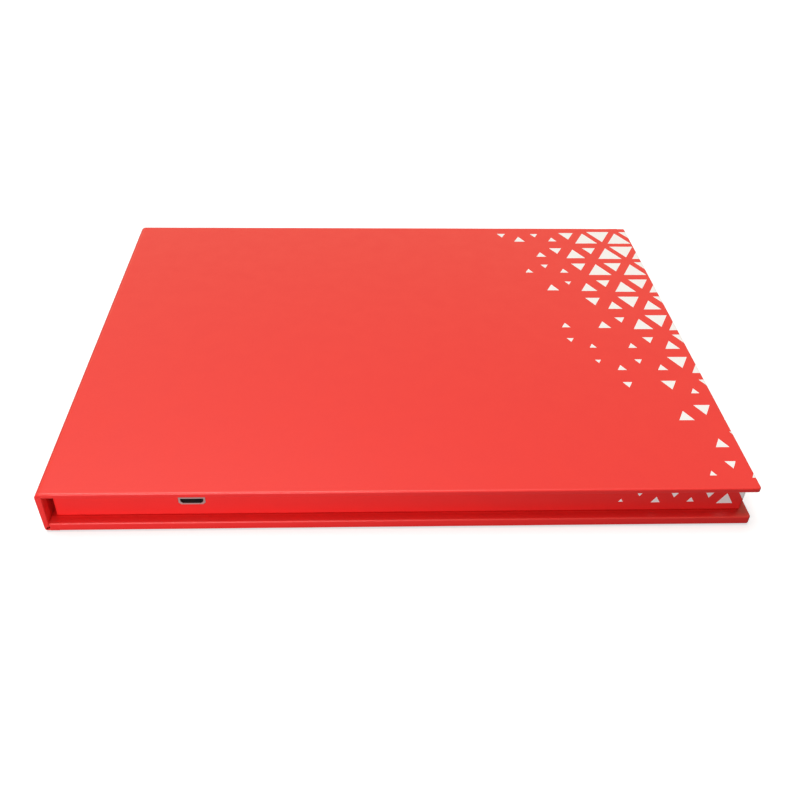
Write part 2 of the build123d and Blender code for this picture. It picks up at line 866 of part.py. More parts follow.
cone_floor = speaker_frame_floor + speaker_floor + cone_rise
coil_radius = magnet_diameter / 2 - coil_inset
with BuildPart() as speaker_cone:
    with BuildSketch(Plane.XY.offset(cone_floor)):
        with Locations((speaker_x, speaker_y)):
            RectangleRounded(
                speaker_width - 2 * speaker_rim, speaker_depth - 2 * speaker_rim, speaker_rim
            )
    extrude(amount=cone_thickness)
    with BuildSketch(Plane.XY.offset(cone_floor)):
        with Locations((speaker_x, speaker_y)):
            Circle(magnet_diameter / 2 - cap_inset)
    extrude(amount=2 * cone_thickness)
    with BuildSketch(Plane.XY.offset(cone_floor - speaker_floor)):
        with Locations((speaker_x, speaker_y)):
            Circle(coil_radius)
            Circle(coil_radius - cone_thickness, mode=Mode.SUBTRACT)
    extrude(amount=speaker_floor)
speaker_cone.part.label = "speaker_cone"
export_step(speaker_cone.part, "parts/speaker_cone.step")

with BuildPart() as speaker_magnet:
    with BuildSketch(Plane.XY.offset(magnet_floor)):
        with Locations((speaker_x, speaker_y)):
            Circle(magnet_diameter / 2)
    extrude(amount=magnet_height)
speaker_magnet.part.label = "speaker_magnet"
export_step(speaker_magnet.part, "parts/speaker_magnet.step")

with BuildPart() as speaker_mesh:
    with BuildSketch(Plane.XY.offset(speaker_top)):
        with Locations((speaker_x, speaker_y)):
            RectangleRounded(speaker_width, speaker_depth, 2 * speaker_rim)
    extrude(amount=dust_mesh_thickness)
speaker_mesh.part.label = "speaker_mesh"
export_step(speaker_mesh.part, "parts/speaker_mesh.step")

speaker_lead_z = speaker_frame_floor + speaker_frame_height / 2
pad_z = board_top + lead_diameter / 2
with BuildPart() as speaker_leads:
    for side in (-1, 1):
        lead_y = speaker_y + side * lead_pitch / 2
        with BuildLine() as lead_line:
            FilletPolyline(
                (speaker_left, lead_y, speaker_lead_z),
                (speaker_left - speaker_gap / 3, lead_y, speaker_lead_z),
                (board_right + speaker_gap / 6, lead_y, pad_z),
                (board_right - solder_pad_reach, lead_y, pad_z),
                radius=lead_bend,
            )
        with BuildSketch(
            Plane(origin=(speaker_left, lead_y, speaker_lead_z), z_dir=(-1, 0, 0))
        ) as lead_end:
            Circle(lead_diameter / 2)
        sweep(sections=lead_end.sketch, path=lead_line.line)
speaker_leads.part.label = "speaker_leads"
export_step(speaker_leads.part, "parts/speaker_leads.step")

# ---------------------------------------------------------------- push buttons

plunger_floor = switch_top - plunger_depth

with BuildPart() as switch_bodies:
    for button_x, row_y in button_places:
        chip_on_board(button_x, row_y, switch_width, switch_width, switch_body_height)
    with BuildSketch(Plane.XY.offset(plunger_floor - plunger_well)):
        with Locations(*button_places):
            Circle(plunger_diameter / 2 + plunger_clearance)
    extrude(amount=plunger_depth + plunger_well, mode=Mode.SUBTRACT)
switch_bodies.part.label = "switch_bodies"
export_step(switch_bodies.part, "parts/switch_bodies.step")

for button_name, place in zip(button_names, button_places):
    with BuildPart() as button:
        with BuildSketch(Plane.XY.offset(flange_floor)):
            with Locations(place):
                Circle(flange_diameter / 2)
        extrude(amount=flange_thickness)
        with BuildSketch(Plane.XY.offset(flange_floor)):
            with Locations(place):
                Circle(cap_diameter / 2)
        extrude(amount=cap_top - flange_floor)
        fillet(button.faces().sort_by(Axis.Z)[-1].edges(), cap_edge_round)
    button.part.label = f"button_{button_name}"
    export_step(button.part, f"parts/button_{button_name}.step")

    with BuildPart() as plunger:
        with BuildSketch(Plane.XY.offset(plunger_floor)):
            with Locations(place):
                Circle(plunger_diameter / 2)
        extrude(amount=flange_floor - plunger_floor)
    plunger.part.label = f"plunger_{button_name}"
    export_step(plunger.part, f"parts/plunger_{button_name}.step")
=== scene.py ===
"""Looks of a hardcover video brochure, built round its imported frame.

The case paper with its turned-in edges and creased hinges, and the marks on the push buttons,
are modelled here. The frame's other pieces keep their shape and get a finish. Everything is in
metres, in the frame's axes: +X runs from the spine to the opening edge, +Y from front to back
and +Z up through the closed brochure.
"""

import logging
import math
from dataclasses import asdict, dataclass, field
from enum import Enum
from functools import cache

import bmesh
import bpy
from mathutils import Matrix, Vector, noise


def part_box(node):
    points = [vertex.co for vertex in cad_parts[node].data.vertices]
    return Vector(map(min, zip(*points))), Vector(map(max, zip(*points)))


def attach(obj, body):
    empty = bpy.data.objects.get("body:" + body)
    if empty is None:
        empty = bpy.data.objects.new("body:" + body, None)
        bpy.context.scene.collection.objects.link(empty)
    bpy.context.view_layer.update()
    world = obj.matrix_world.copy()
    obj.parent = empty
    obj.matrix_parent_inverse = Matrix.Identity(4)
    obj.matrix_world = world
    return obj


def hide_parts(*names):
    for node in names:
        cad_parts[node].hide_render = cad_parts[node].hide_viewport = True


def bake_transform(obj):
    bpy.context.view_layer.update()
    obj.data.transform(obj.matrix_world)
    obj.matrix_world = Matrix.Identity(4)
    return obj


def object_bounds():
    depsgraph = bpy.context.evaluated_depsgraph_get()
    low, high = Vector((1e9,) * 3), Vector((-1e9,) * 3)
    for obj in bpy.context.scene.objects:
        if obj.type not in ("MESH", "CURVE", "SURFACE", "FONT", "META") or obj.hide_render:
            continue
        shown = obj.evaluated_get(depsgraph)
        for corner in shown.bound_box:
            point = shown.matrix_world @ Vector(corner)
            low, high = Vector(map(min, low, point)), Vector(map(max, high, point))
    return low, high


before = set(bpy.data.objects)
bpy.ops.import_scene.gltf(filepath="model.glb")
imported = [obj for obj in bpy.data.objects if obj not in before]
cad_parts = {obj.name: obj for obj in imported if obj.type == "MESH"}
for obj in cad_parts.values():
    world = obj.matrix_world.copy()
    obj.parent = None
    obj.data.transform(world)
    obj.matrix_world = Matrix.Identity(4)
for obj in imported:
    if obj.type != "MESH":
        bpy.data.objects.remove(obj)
cad_low, cad_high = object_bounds()

log = logging.getLogger("video_brochure")

MM = 0.001
REST_PLACE = "rest_place"  # attribute that holds where a sheet's points lie in the closed case
MIX_FACTOR, MIX_FIRST, MIX_SECOND, MIX_RESULT = 0, 6, 7, 2  # colour sockets of a Mix node
COLOUR_TONES = (0.35, 0.65)  # tones between which the first colour turns into the second
GLOSS_TONES = (0.3, 0.7)  # tones between which the roughness changes
TURNED_AWAY = 0.5  # part of a unit normal that tells which way a face looks
OUTER_PAPER = 0.15 * MM
TURNED_PAPER = 0.05 * MM

Triple = tuple[float, float, float]
Colour = tuple[float, float, float]
RowPoint = tuple[float, float]  # inset from the free edge, depth below the outer face
Outline = list[tuple[float, float]]
Socket = bpy.types.NodeSocket

PRINT_RED: Colour = (0.85, 0.021, 0.019)
PRINT_RED_DEEP: Colour = (0.83, 0.019, 0.018)
# Paler red of the cover's rims: rubbed print and a painted highlight.
PRINT_RED_WORN_AND_LIT: Colour = (0.90, 0.110, 0.085)
PAPER_WHITE: Colour = (0.97, 0.95, 0.94)
CARD_CORE: Colour = (0.82, 0.74, 0.70)


# ---------------------------------------------------------------- node writing


@dataclass
class NodeDesk:
    """Adds nodes to one shader tree and joins them."""

    tree: bpy.types.NodeTree

    def feed(self, socket: Socket, value: object) -> None:
        """Links a socket to an input, or sets the input to a plain value."""
        if isinstance(value, Socket):
            self.tree.links.new(value, socket)
        else:
            socket.default_value = value

    def add(self, kind: str, *values: object, **settings: object) -> bpy.types.Node:
        """Adds a node.

        Args:
            kind: Blender's name of the node type.
            values: A socket or a plain value for each of its first inputs.
            settings: Attributes of the node to set.

        Returns:
            The new node.
        """
        node = self.tree.nodes.new(kind)
        for key, value in settings.items():
            setattr(node, key, value)
        for socket, value in zip(node.inputs, values):
            self.feed(socket, value)
        return node

    def calc(self, operation: str, *values: object) -> Socket:
        """Adds a Math node and returns its result."""
        return self.add("ShaderNodeMath", *values, operation=operation).outputs[0]

    def vector(self, operation: str, *values: object) -> Socket:
        """Adds a Vector Math node and returns its vector result."""
        return self.add("ShaderNodeVectorMath", *values, operation=operation).outputs[0]

    def split(self, vector: Socket) -> tuple[Socket, ...]:
        """Splits a vector into its X, Y and Z."""
        return tuple(self.add("ShaderNodeSeparateXYZ", vector).outputs)

    def join(self, x: object, y: object, z: object) -> Socket:
        """Joins three values into a vector."""
        return self.add("ShaderNodeCombineXYZ", x, y, z).outputs[0]

    def span(
        self, value: Socket, low: float, high: float, to_low: float = 0.0, to_high: float = 1.0
    ) -> Socket:
        """Maps a value from one range to another and holds it there."""
        return self.add("ShaderNodeMapRange", value, low, high, to_low, to_high).outputs[0]

    def weigh(self, first: Socket, second: Socket, share: float) -> Socket:
        """Adds two values, the first by its share and the second by the rest."""
        kept = self.calc("MULTIPLY", first, share)
        return self.calc("ADD", kept, self.calc("MULTIPLY", second, 1.0 - share))

    def past(self, value: Socket, middle: float, half: float) -> Socket:
        """How far a value lies past half a width on either side of a middle."""
        off = self.calc("ABSOLUTE", self.calc("SUBTRACT", value, middle))
        return self.calc("SUBTRACT", off, half)

    def mix(self, factor: object, first: object, second: object) -> Socket:
        """Mixes two colours.

        Args:
            factor: Share of the second colour.
            first: Colour where the factor is 0.
            second: Colour where the factor is 1.

        Returns:
            The mixed colour.
        """
        node = self.add("ShaderNodeMix", data_type="RGBA")
        self.feed(node.inputs[MIX_FACTOR], factor)
        for place, value in ((MIX_FIRST, first), (MIX_SECOND, second)):
            self.feed(node.inputs[place], value if isinstance(value, Socket) else (*value, 1.0))
        return node.outputs[MIX_RESULT]

    def noise(self, place: Socket, scale: float, detail: float) -> Socket:
        """Adds a noise texture.

        Args:
            place: Coordinates that it is drawn in.
            scale: How many times per metre it changes.
            detail: Layers of finer noise in it.

        Returns:
            Its value.
        """
        node = self.add("ShaderNodeTexNoise")
        for label, value in (("Vector", place), ("Scale", scale), ("Detail", detail)):
            self.feed(node.inputs[label], value)
        return node.outputs[0]

    def bump(self, height: Socket, distance: float) -> Socket:
        """Turns a height into a normal.

        Args:
            height: Height over the surface, from 0 to 1.
            distance: What a height of 1 stands for, in metres.

        Returns:
            The bumped normal.
        """
        node = self.add("ShaderNodeBump")
        self.feed(node.inputs["Distance"], distance)
        self.feed(node.inputs["Height"], height)
        return node.outputs[0]

    def use(self, group: bpy.types.NodeTree, **values: object) -> bpy.types.Node:
        """Places a node group.

        Args:
            group: The group's tree.
            values: Its inputs by name.

        Returns:
            The group node, with the group's outputs.
        """
        node = self.add("ShaderNodeGroup", node_tree=group)
        for key, value in values.items():
            self.feed(node.inputs[key.title()], value)
        return node


@dataclass
class GroupDesk(NodeDesk):
    """A node group that is being written, with its own inputs and outputs."""

    inlet: bpy.types.Node
    outlet: bpy.types.Node

    @classmethod
    def start(cls, name: str, inputs: dict[str, object], *outputs: str) -> "GroupDesk":
        """Makes an empty group.

        Args:
            name: The group's name.
            inputs: Default value of each input. A tuple makes a vector input.
            outputs: Names of the outputs.

        Returns:
            The desk to write its nodes on.
        """
        tree = bpy.data.node_groups.new(name, "ShaderNodeTree")
        for label, default in inputs.items():
            kind = "NodeSocketVector" if isinstance(default, tuple) else "NodeSocketFloat"
            socket = tree.interface.new_socket(label, in_out="INPUT", socket_type=kind)
            socket.default_value = default
        for label in outputs:
            tree.interface.new_socket(label, in_out="OUTPUT", socket_type="NodeSocketFloat")
        return cls(tree, tree.nodes.new("NodeGroupInput"), tree.nodes.new("NodeGroupOutput"))

    def give(self, **values: Socket) -> bpy.types.NodeTree:
        """Joins values to the group's outputs.

        Args:
            values: Each output by name.

        Returns:
            The finished group.
        """
        for key, value in values.items():
            self.feed(self.outlet.inputs[key.title()], value)
        return self.tree


# ---------------------------------------------------------------- shared effects


@cache
def surface_grain() -> bpy.types.NodeTree:
    """Uneven surface: a coarse wave, a grain and a fine tooth, stretched along any axis.

    Returns:
        The group.
    """
    desk = GroupDesk.start(
        "surface_grain",
        {"Place": (0.0, 0.0, 0.0), "Stretch": (1.0, 1.0, 1.0), "Scale": 1000.0, "Coarse": 0.3},
        "Height",
        "Tone",
    )
    given = desk.inlet.outputs
    stretched = desk.vector("MULTIPLY", given["Place"], given["Stretch"])
    scaled = desk.add("ShaderNodeVectorMath", stretched, operation="SCALE")
    desk.feed(scaled.inputs["Scale"], given["Scale"])
    place = scaled.outputs[0]
    wave = desk.noise(place, scale=0.08, detail=1.0)
    grain = desk.noise(place, scale=1.0, detail=3.0)
    tooth = desk.noise(place, scale=4.5, detail=1.0)
    fine = desk.weigh(grain, tooth, share=0.7)
    coarse = desk.calc("MULTIPLY", wave, given["Coarse"])
    tone = desk.weigh(wave, grain, share=0.6)
    return desk.give(height=desk.calc("ADD", fine, coarse), tone=tone)


@cache
def edge_wear_and_highlight() -> bpy.types.NodeTree:
    """Mask of rubbed edges: 1 on a worn edge, broken up by noise, and 0 on a flat face.

    On the cover paper the same mask paints a highlight along the rims.

    Returns:
        The group.
    """
    desk = GroupDesk.start(
        "edge_wear_and_highlight", {"Place": (0.0, 0.0, 0.0), "Radius": 0.5 * MM, "Wear": 0.5}, "Mask"
    )
    given = desk.inlet.outputs
    flat, rubbed = 0.995, 0.86  # cosines between a face and its rounded-over normal
    least = 0.35  # wear left where the noise is lowest
    round_over = desk.add("ShaderNodeBevel", given["Radius"], samples=4)
    face = desk.add("ShaderNodeNewGeometry").outputs["Normal"]
    turn = desk.add("ShaderNodeVectorMath", round_over.outputs[0], face, operation="DOT_PRODUCT")
    edge = desk.span(turn.outputs["Value"], flat, rubbed)
    patches = desk.span(desk.noise(given["Place"], scale=170.0, detail=4.0), low=0.35, high=0.7)
    worn_and_lit = desk.calc("MULTIPLY", edge, desk.calc("ADD", least, patches))
    return desk.give(mask=desk.calc("MULTIPLY", worn_and_lit, given["Wear"]))


@cache
def triangle_field() -> bpy.types.NodeTree:
    """Mask of a lattice of triangles that grow from Start to Full along X, in the XY plane.

    The lattice has three families of parallel lines. A point's distances to the nearest lines
    of the three families are its place in its own triangle, and the whole numbers in them say
    which triangle that is.

    Returns:
        The group.
    """
    desk = GroupDesk.start(
        "triangle_field",
        {
            "Place": (0.0, 0.0, 0.0),
            "Height": 11.0 * MM,
            "Gap": 0.9 * MM,
            "Start": 0.04,
            "Full": 0.11,
            "Lean": 0.0,
            "Spread": 0.5,
            "Smallest": 0.2,
        },
        "Mask",
    )
    given = desk.inlet.outputs
    x, y, _ = desk.split(given["Place"])
    across, up = (desk.calc("DIVIDE", value, given["Height"]) for value in (x, y))
    half_up = desk.calc("MULTIPLY", up, 0.5)
    slant = desk.calc("MULTIPLY", across, math.sqrt(3) / 2)
    mirrored = desk.calc("MULTIPLY", slant, -1.0)
    families = (up, *(desk.calc("SUBTRACT", side, half_up) for side in (slant, mirrored)))
    parts = [desk.calc("FRACT", value) for value in families]
    cells = [desk.calc("FLOOR", value) for value in families]
    total = desk.calc("ADD", desk.calc("ADD", parts[0], parts[1]), parts[2])
    points_down = desk.calc("GREATER_THAN", total, 1.5)
    inward = [desk.calc("ABSOLUTE", desk.calc("SUBTRACT", points_down, part)) for part in parts]
    depth = desk.calc("MINIMUM", desk.calc("MINIMUM", inward[0], inward[1]), inward[2])

    columns = desk.calc("DIVIDE", desk.calc("SUBTRACT", cells[1], cells[2]), math.sqrt(3))
    middle_x, middle_y = (
        desk.calc("MULTIPLY", value, given["Height"]) for value in (columns, cells[0])
    )
    leaned = desk.calc("ADD", middle_x, desk.calc("MULTIPLY", middle_y, given["Lean"]))
    progress = desk.add(
        "ShaderNodeMapRange", leaned, given["Start"], given["Full"], clamp=False
    ).outputs[0]
    dice = desk.add("ShaderNodeTexWhiteNoise", noise_dimensions="3D")
    desk.feed(dice.inputs["Vector"], desk.join(cells[0], cells[1], points_down))
    luck = desk.calc("MULTIPLY", desk.calc("SUBTRACT", dice.outputs["Value"], 0.5), given["Spread"])
    size = desk.calc("ADD", progress, luck)
    held = desk.calc("MINIMUM", desk.calc("MAXIMUM", size, 0.0), 1.0)
    gap = desk.calc("DIVIDE", given["Gap"], given["Height"])
    room = desk.calc("SUBTRACT", 1 / 3, gap)
    shrink = desk.calc("MULTIPLY", room, desk.calc("SUBTRACT", 1.0, held))
    inside = desk.calc("GREATER_THAN", depth, desk.calc("ADD", gap, shrink))
    printed = desk.calc("GREATER_THAN", held, given["Smallest"])
    return desk.give(mask=desk.calc("MULTIPLY", inside, printed))


# ---------------------------------------------------------------- finishes


def middle_and_half(node: str) -> tuple[Vector, Vector]:
    """The middle of a node's box, and half its size."""
    low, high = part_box(node)
    return (low + high) / 2, (high - low) / 2


def past_box(
    desk: NodeDesk, place: Socket, node: str, border: tuple[float, float] = (0.0, 0.0)
) -> Socket:
    """Measures from above how far a point lies outside a node's box.

    Args:
        desk: Desk of the material.
        place: The point.
        node: The node's name.
        border: How far the box is drawn in, along X and Y.

    Returns:
        The distance, below 0 inside the box.
    """
    middle, half = middle_and_half(node)
    x, y, _ = desk.split(place)
    past_x = desk.past(x, middle.x, half.x - border[0])
    past_y = desk.past(y, middle.y, half.y - border[1])
    return desk.calc("MAXIMUM", past_x, past_y)


@dataclass(frozen=True)
class Finish:
    """Plain moulded, sheet or metal surface with a grain in its colour, gloss and relief.

    Its methods get the desk of the material, the place of the surface's points, and the grain's
    tone or height, and return what they add to the surface.
    """

    name: str
    colour: Colour
    second_colour: Colour
    roughness: float = 0.5
    roughness_change: float = 0.1
    metallic: float = 0.0
    specular: float = 0.5
    scale: float = 1000.0
    stretch: Triple = (1.0, 1.0, 1.0)
    coarse: float = 0.3
    relief: float = 0.02 * MM
    coat: float = 0.0
    coat_roughness: float = 0.25
    wear: float = 0.0
    worn_gain: float = 1.2
    worn_lift: float = 0.08

    @cache
    def material(self) -> bpy.types.Material:
        """Builds the material once.

        Returns:
            The material.
        """
        made = bpy.data.materials.new(self.name)
        made.use_nodes = True
        shader = made.node_tree.nodes["Principled BSDF"]
        shader.inputs["Metallic"].default_value = self.metallic
        shader.inputs["Specular IOR Level"].default_value = self.specular
        if self.coat:
            shader.inputs["Coat Weight"].default_value = self.coat
            shader.inputs["Coat Roughness"].default_value = self.coat_roughness
        self.dress(NodeDesk(made.node_tree), shader)
        return made

    def place(self, desk: NodeDesk) -> Socket:
        """Coordinates that the surface's pattern is drawn in."""
        return desk.add("ShaderNodeTexCoord").outputs["Object"]

    def facing(self, desk: NodeDesk) -> tuple[Socket, ...]:
        """X, Y and Z of the way that the surface looks."""
        return desk.split(desk.add("ShaderNodeTexCoord").outputs["Normal"])

    def grain(self, desk: NodeDesk, place: Socket) -> bpy.types.NodeOutputs:
        """Height and tone of this surface's grain."""
        sizes = {"stretch": self.stretch, "scale": self.scale, "coarse": self.coarse}
        return desk.use(surface_grain(), place=place, **sizes).outputs

    def colour_at(self, desk: NodeDesk, place: Socket, tone: Socket) -> Socket:
        """Base colour over the surface, before any wear."""
        return desk.mix(desk.span(tone, *COLOUR_TONES), self.colour, self.second_colour)

    def relief_at(self, desk: NodeDesk, place: Socket, height: Socket) -> Socket:
        """Normal over the surface."""
        return desk.bump(height, self.relief)

    def worn_colour(self) -> Colour:
        """Colour of the rubbed edges."""
        return tuple(min(1.0, part * self.worn_gain + self.worn_lift) for part in self.colour)

    def dress(self, desk: NodeDesk, shader: bpy.types.Node) -> None:
        """Joins colour, roughness and relief to the shader.

        Args:
            desk: Desk of the material.
            shader: Its Principled shader.
        """
        place = self.place(desk)
        grain = self.grain(desk, place)
        colour = self.colour_at(desk, place, grain["Tone"])
        # Paler edges: rubbed wear, and on the cover paper a painted highlight along its rims.
        if self.wear:
            worn_and_lit = desk.use(edge_wear_and_highlight(), place=place, wear=self.wear)
            colour = desk.mix(worn_and_lit.outputs["Mask"], colour, self.worn_colour())
        desk.feed(shader.inputs["Base Color"], colour)
        low = self.roughness - self.roughness_change / 2
        high = self.roughness + self.roughness_change / 2
        desk.feed(shader.inputs["Roughness"], desk.span(grain["Tone"], *GLOSS_TONES, low, high))
        desk.feed(shader.inputs["Normal"], self.relief_at(desk, place, grain["Height"]))


@dataclass(frozen=True)
class Artwork:
    """White triangles that grow along X, from where they start to where they are full."""

    start: float
    full: float
    height: float
    lean: float
    gap: float = 1.3 * MM


class Print(Enum):
    """Where a red printed sheet carries its triangles, and how they grow there."""

    NONE = None
    COVER = Artwork(start=60.0 * MM, full=116.0 * MM, height=12.6 * MM, lean=0.34)
    BLOCK = Artwork(start=66.0 * MM, full=112.0 * MM, height=9.4 * MM, lean=0.0)


@dataclass(frozen=True)
class PrintedPaper(Finish):
    """Matt laminated paper printed red, with white triangles where the print has them."""

    colour: Colour = PRINT_RED
    second_colour: Colour = PRINT_RED_DEEP
    roughness_change: float = 0.08
    scale: float = 1500.0
    coarse: float = 1.2
    relief: float = 0.012 * MM
    artwork: Print = Print.NONE
    print_depth: float = 0.45 * MM  # how far the cover's artwork runs down over its edge
    lattice_foot: float = 3.9 * MM  # height at which the block's lattice starts
    follows_sheet: bool = False

    def place(self, desk: NodeDesk) -> Socket:
        """Finds the coordinates of the print, which stay put when a sheet bends.

        Args:
            desk: Desk of the material.

        Returns:
            Rest coordinates on a sheet, and the object's own elsewhere.
        """
        if self.follows_sheet:
            return desk.add("ShaderNodeAttribute", attribute_name=REST_PLACE).outputs["Vector"]
        return super().place(desk)

    def worn_colour(self) -> Colour:
        """Print that has thinned on the edges, paler as a painted highlight along the rims."""
        return PRINT_RED_WORN_AND_LIT

    def colour_at(self, desk: NodeDesk, place: Socket, tone: Socket) -> Socket:
        """Red, with the white triangles of the cover's top or of the block's sides.

        Args:
            desk: Desk of the material.
            place: Coordinates of the surface.
            tone: The grain's tone.

        Returns:
            The colour.
        """
        red = super().colour_at(desk, place, tone)
        if self.artwork is Print.NONE:
            return red
        x, y, z = desk.split(place)
        if self.artwork is Print.COVER:
            field_place = desk.join(x, y, 0.0)
            shown = desk.calc("GREATER_THAN", z, cad_high.z - self.print_depth)
        else:
            from_front = desk.calc("SUBTRACT", y, cad_low.y)
            from_back = desk.calc("SUBTRACT", cad_high.y, y)
            round_corner = desk.calc("ADD", x, desk.calc("MINIMUM", from_front, from_back))
            field_place = desk.join(round_corner, desk.calc("SUBTRACT", z, self.lattice_foot), 0.0)
            shown = desk.calc("GREATER_THAN", x, 0.0)
        triangles = desk.use(triangle_field(), place=field_place, **asdict(self.artwork.value))
        white = desk.calc("MULTIPLY", triangles.outputs["Mask"], shown)
        return desk.mix(white, red, PAPER_WHITE)


@dataclass(frozen=True)
class FaceCard(PrintedPaper):
    """Printed card of the block's face, with a bare core where it is cut."""

    film_margin: float = 3.0 * MM
    line_offset: float = 2.6 * MM
    line_width: float = 0.35 * MM

    def colour_at(self, desk: NodeDesk, place: Socket, tone: Socket) -> Socket:
        """Red with a fine white line round the window, and the core on the cut edges.

        Args:
            desk: Desk of the material.
            place: Coordinates of the surface.
            tone: The grain's tone.

        Returns:
            The colour.
        """
        red = super().colour_at(desk, place, tone)
        past = desk.calc("ADD", past_box(desk, place, "screen_window"), self.film_margin)
        off = desk.past(past, self.line_offset, self.line_width / 2)
        printed = desk.mix(desk.calc("LESS_THAN", off, 0.0), red, PAPER_WHITE)
        upward = desk.calc("ABSOLUTE", self.facing(desk)[2])
        return desk.mix(desk.calc("LESS_THAN", upward, TURNED_AWAY), printed, CARD_CORE)


@dataclass(frozen=True)
class SocketShell(Finish):
    """Plated shell: a pale rolled rim, a painted highlight, round a dark inside, painted shade."""

    # pale pinkish painted highlight on the rim's front faces
    rim_colour: Colour = (0.66, 0.51, 0.49)

    def colour_at(self, desk: NodeDesk, place: Socket, tone: Socket) -> Socket:
        """Painted highlight colour on the faces that look out of the block."""
        # mask of the front faces that carry the painted highlight
        rim = desk.calc("LESS_THAN", self.facing(desk)[1], -TURNED_AWAY)
        return desk.mix(rim, super().colour_at(desk, place, tone), self.rim_colour)


@dataclass(frozen=True)
class ScreenPanel(Finish):
    """Dark liquid-crystal panel: a slightly paler picture area inside a black border."""

    border: tuple[float, float] = (5.2 * MM, 6.7 * MM)

    def colour_at(self, desk: NodeDesk, place: Socket, tone: Socket) -> Socket:
        """Black border round the picture."""
        inside = desk.calc("LESS_THAN", past_box(desk, place, "lcd_panel", self.border), 0.0)
        return desk.mix(inside, self.colour, self.second_colour)


@dataclass(frozen=True)
class ClearFilm(Finish):
    """Clear protective film with faint scuffs."""

    ior: float = 1.2
    scuff_tones: tuple[float, float] = (0.45, 0.8)

    def dress(self, desk: NodeDesk, shader: bpy.types.Node) -> None:
        """Makes the shader clear, with scuffs in its roughness.

        Args:
            desk: Desk of the material.
            shader: Its Principled shader.
        """
        shader.inputs["Base Color"].default_value = (*self.colour, 1.0)
        shader.inputs["Transmission Weight"].default_value = 1.0
        shader.inputs["IOR"].default_value = self.ior
        tone = self.grain(desk, self.place(desk))["Tone"]
        rough = self.roughness + self.roughness_change
        scuffed = desk.span(tone, *self.scuff_tones, self.roughness, rough)
        desk.feed(shader.inputs["Roughness"], scuffed)


@dataclass(frozen=True)
class CircuitBoard(Finish):
    """Solder mask over copper tracks, with tinned pads."""

    track_scale: float = 160.0
    track_width: float = 0.03
    faint_track: float = 0.12
    pad_scale: float = 420.0
    pad_radius: float = 0.13
    pad_colour: Colour = (0.78, 0.72, 0.55)

    def colour_at(self, desk: NodeDesk, place: Socket, tone: Socket) -> Socket:
        """Mask, tracks and pads.

        Args:
            desk: Desk of the material.
            place: Coordinates of the surface.
            tone: The grain's tone, not used here.

        Returns:
            The colour.
        """
        tracks = desk.add("ShaderNodeTexBrick", place, offset=0.5)
        tracks.inputs["Scale"].default_value = self.track_scale
        tracks.inputs["Mortar Size"].default_value = self.track_width
        shades = (("Color1", 0.0), ("Color2", self.faint_track), ("Mortar", 1.0))
        for label, shade in shades:
            tracks.inputs[label].default_value = (shade, shade, shade, 1.0)
        pads = desk.add("ShaderNodeTexVoronoi", place, feature="F1")
        pads.inputs["Scale"].default_value = self.pad_scale
        pad = desk.calc("LESS_THAN", pads.outputs["Distance"], self.pad_radius)
        mask = desk.mix(tracks.outputs["Color"], self.colour, self.second_colour)
        return desk.mix(pad, mask, self.pad_colour)


@dataclass(frozen=True)
class StripedRibbon(Finish):
    """Amber ribbon with its copper tracks showing through."""

    pitch: float = 1.0 * MM

    def colour_at(self, desk: NodeDesk, place: Socket, tone: Socket) -> Socket:
        """Stripes across the ribbon's width."""
        along = desk.calc("FRACT", desk.calc("DIVIDE", desk.split(place)[0], self.pitch))
        return desk.mix(desk.calc("GREATER_THAN", along, 0.5), self.colour, self.second_colour)


@dataclass(frozen=True)
class WovenMesh(Finish):
    """Fine woven dust mesh."""

    pitch: float = 0.35 * MM
    thread_edge: tuple[float, float] = (0.1, 0.6)

    def thread(self, desk: NodeDesk, place: Socket) -> Socket:
        """Finds the threads.

        Args:
            desk: Desk of the material.
            place: Coordinates of the surface.

        Returns:
            Their mask.
        """
        turns = [desk.calc("MULTIPLY", part, 2 * math.pi / self.pitch) for part in desk.split(place)]
        waves = [desk.calc("SINE", turn) for turn in turns[:2]]
        return desk.span(desk.calc("MAXIMUM", *waves), *self.thread_edge)

    def colour_at(self, desk: NodeDesk, place: Socket, tone: Socket) -> Socket:
        """Threads over the dark holes between them."""
        return desk.mix(self.thread(desk, place), self.second_colour, self.colour)

    def relief_at(self, desk: NodeDesk, place: Socket, height: Socket) -> Socket:
        """Raised threads."""
        return desk.bump(self.thread(desk, place), self.relief)


@dataclass(frozen=True)
class RibbedCone(Finish):
    """Pressed speaker paper with rings round its centre."""

    pitch: float = 1.1 * MM

    def relief_at(self, desk: NodeDesk, place: Socket, height: Socket) -> Socket:
        """Concentric pressed ribs.

        Args:
            desk: Desk of the material.
            place: Coordinates of the surface.
            height: The grain's height.

        Returns:
            The normal.
        """
        middle, _ = middle_and_half("speaker_cone")
        x, y, _ = desk.split(desk.vector("SUBTRACT", place, tuple(middle)))
        squares = [desk.calc("MULTIPLY", part, part) for part in (x, y)]
        radius = desk.calc("SQRT", desk.calc("ADD", *squares))
        rib = desk.calc("SINE", desk.calc("MULTIPLY", radius, 2 * math.pi / self.pitch))
        return desk.bump(desk.calc("ADD", rib, height), self.relief)


@dataclass(frozen=True)
class TwinLead(Finish):
    """Pair of insulated wires, one in each colour."""

    node: str = ""
    axis: int = 0

    def colour_at(self, desk: NodeDesk, place: Socket, tone: Socket) -> Socket:
        """One colour on each side of the pair's middle.

        Args:
            desk: Desk of the material.
            place: Coordinates of the surface.
            tone: The grain's tone, not used here.

        Returns:
            The colour.
        """
        middle, _ = middle_and_half(self.node)
        side = desk.calc("GREATER_THAN", desk.split(place)[self.axis], middle[self.axis])
        return desk.mix(side, self.colour, self.second_colour)


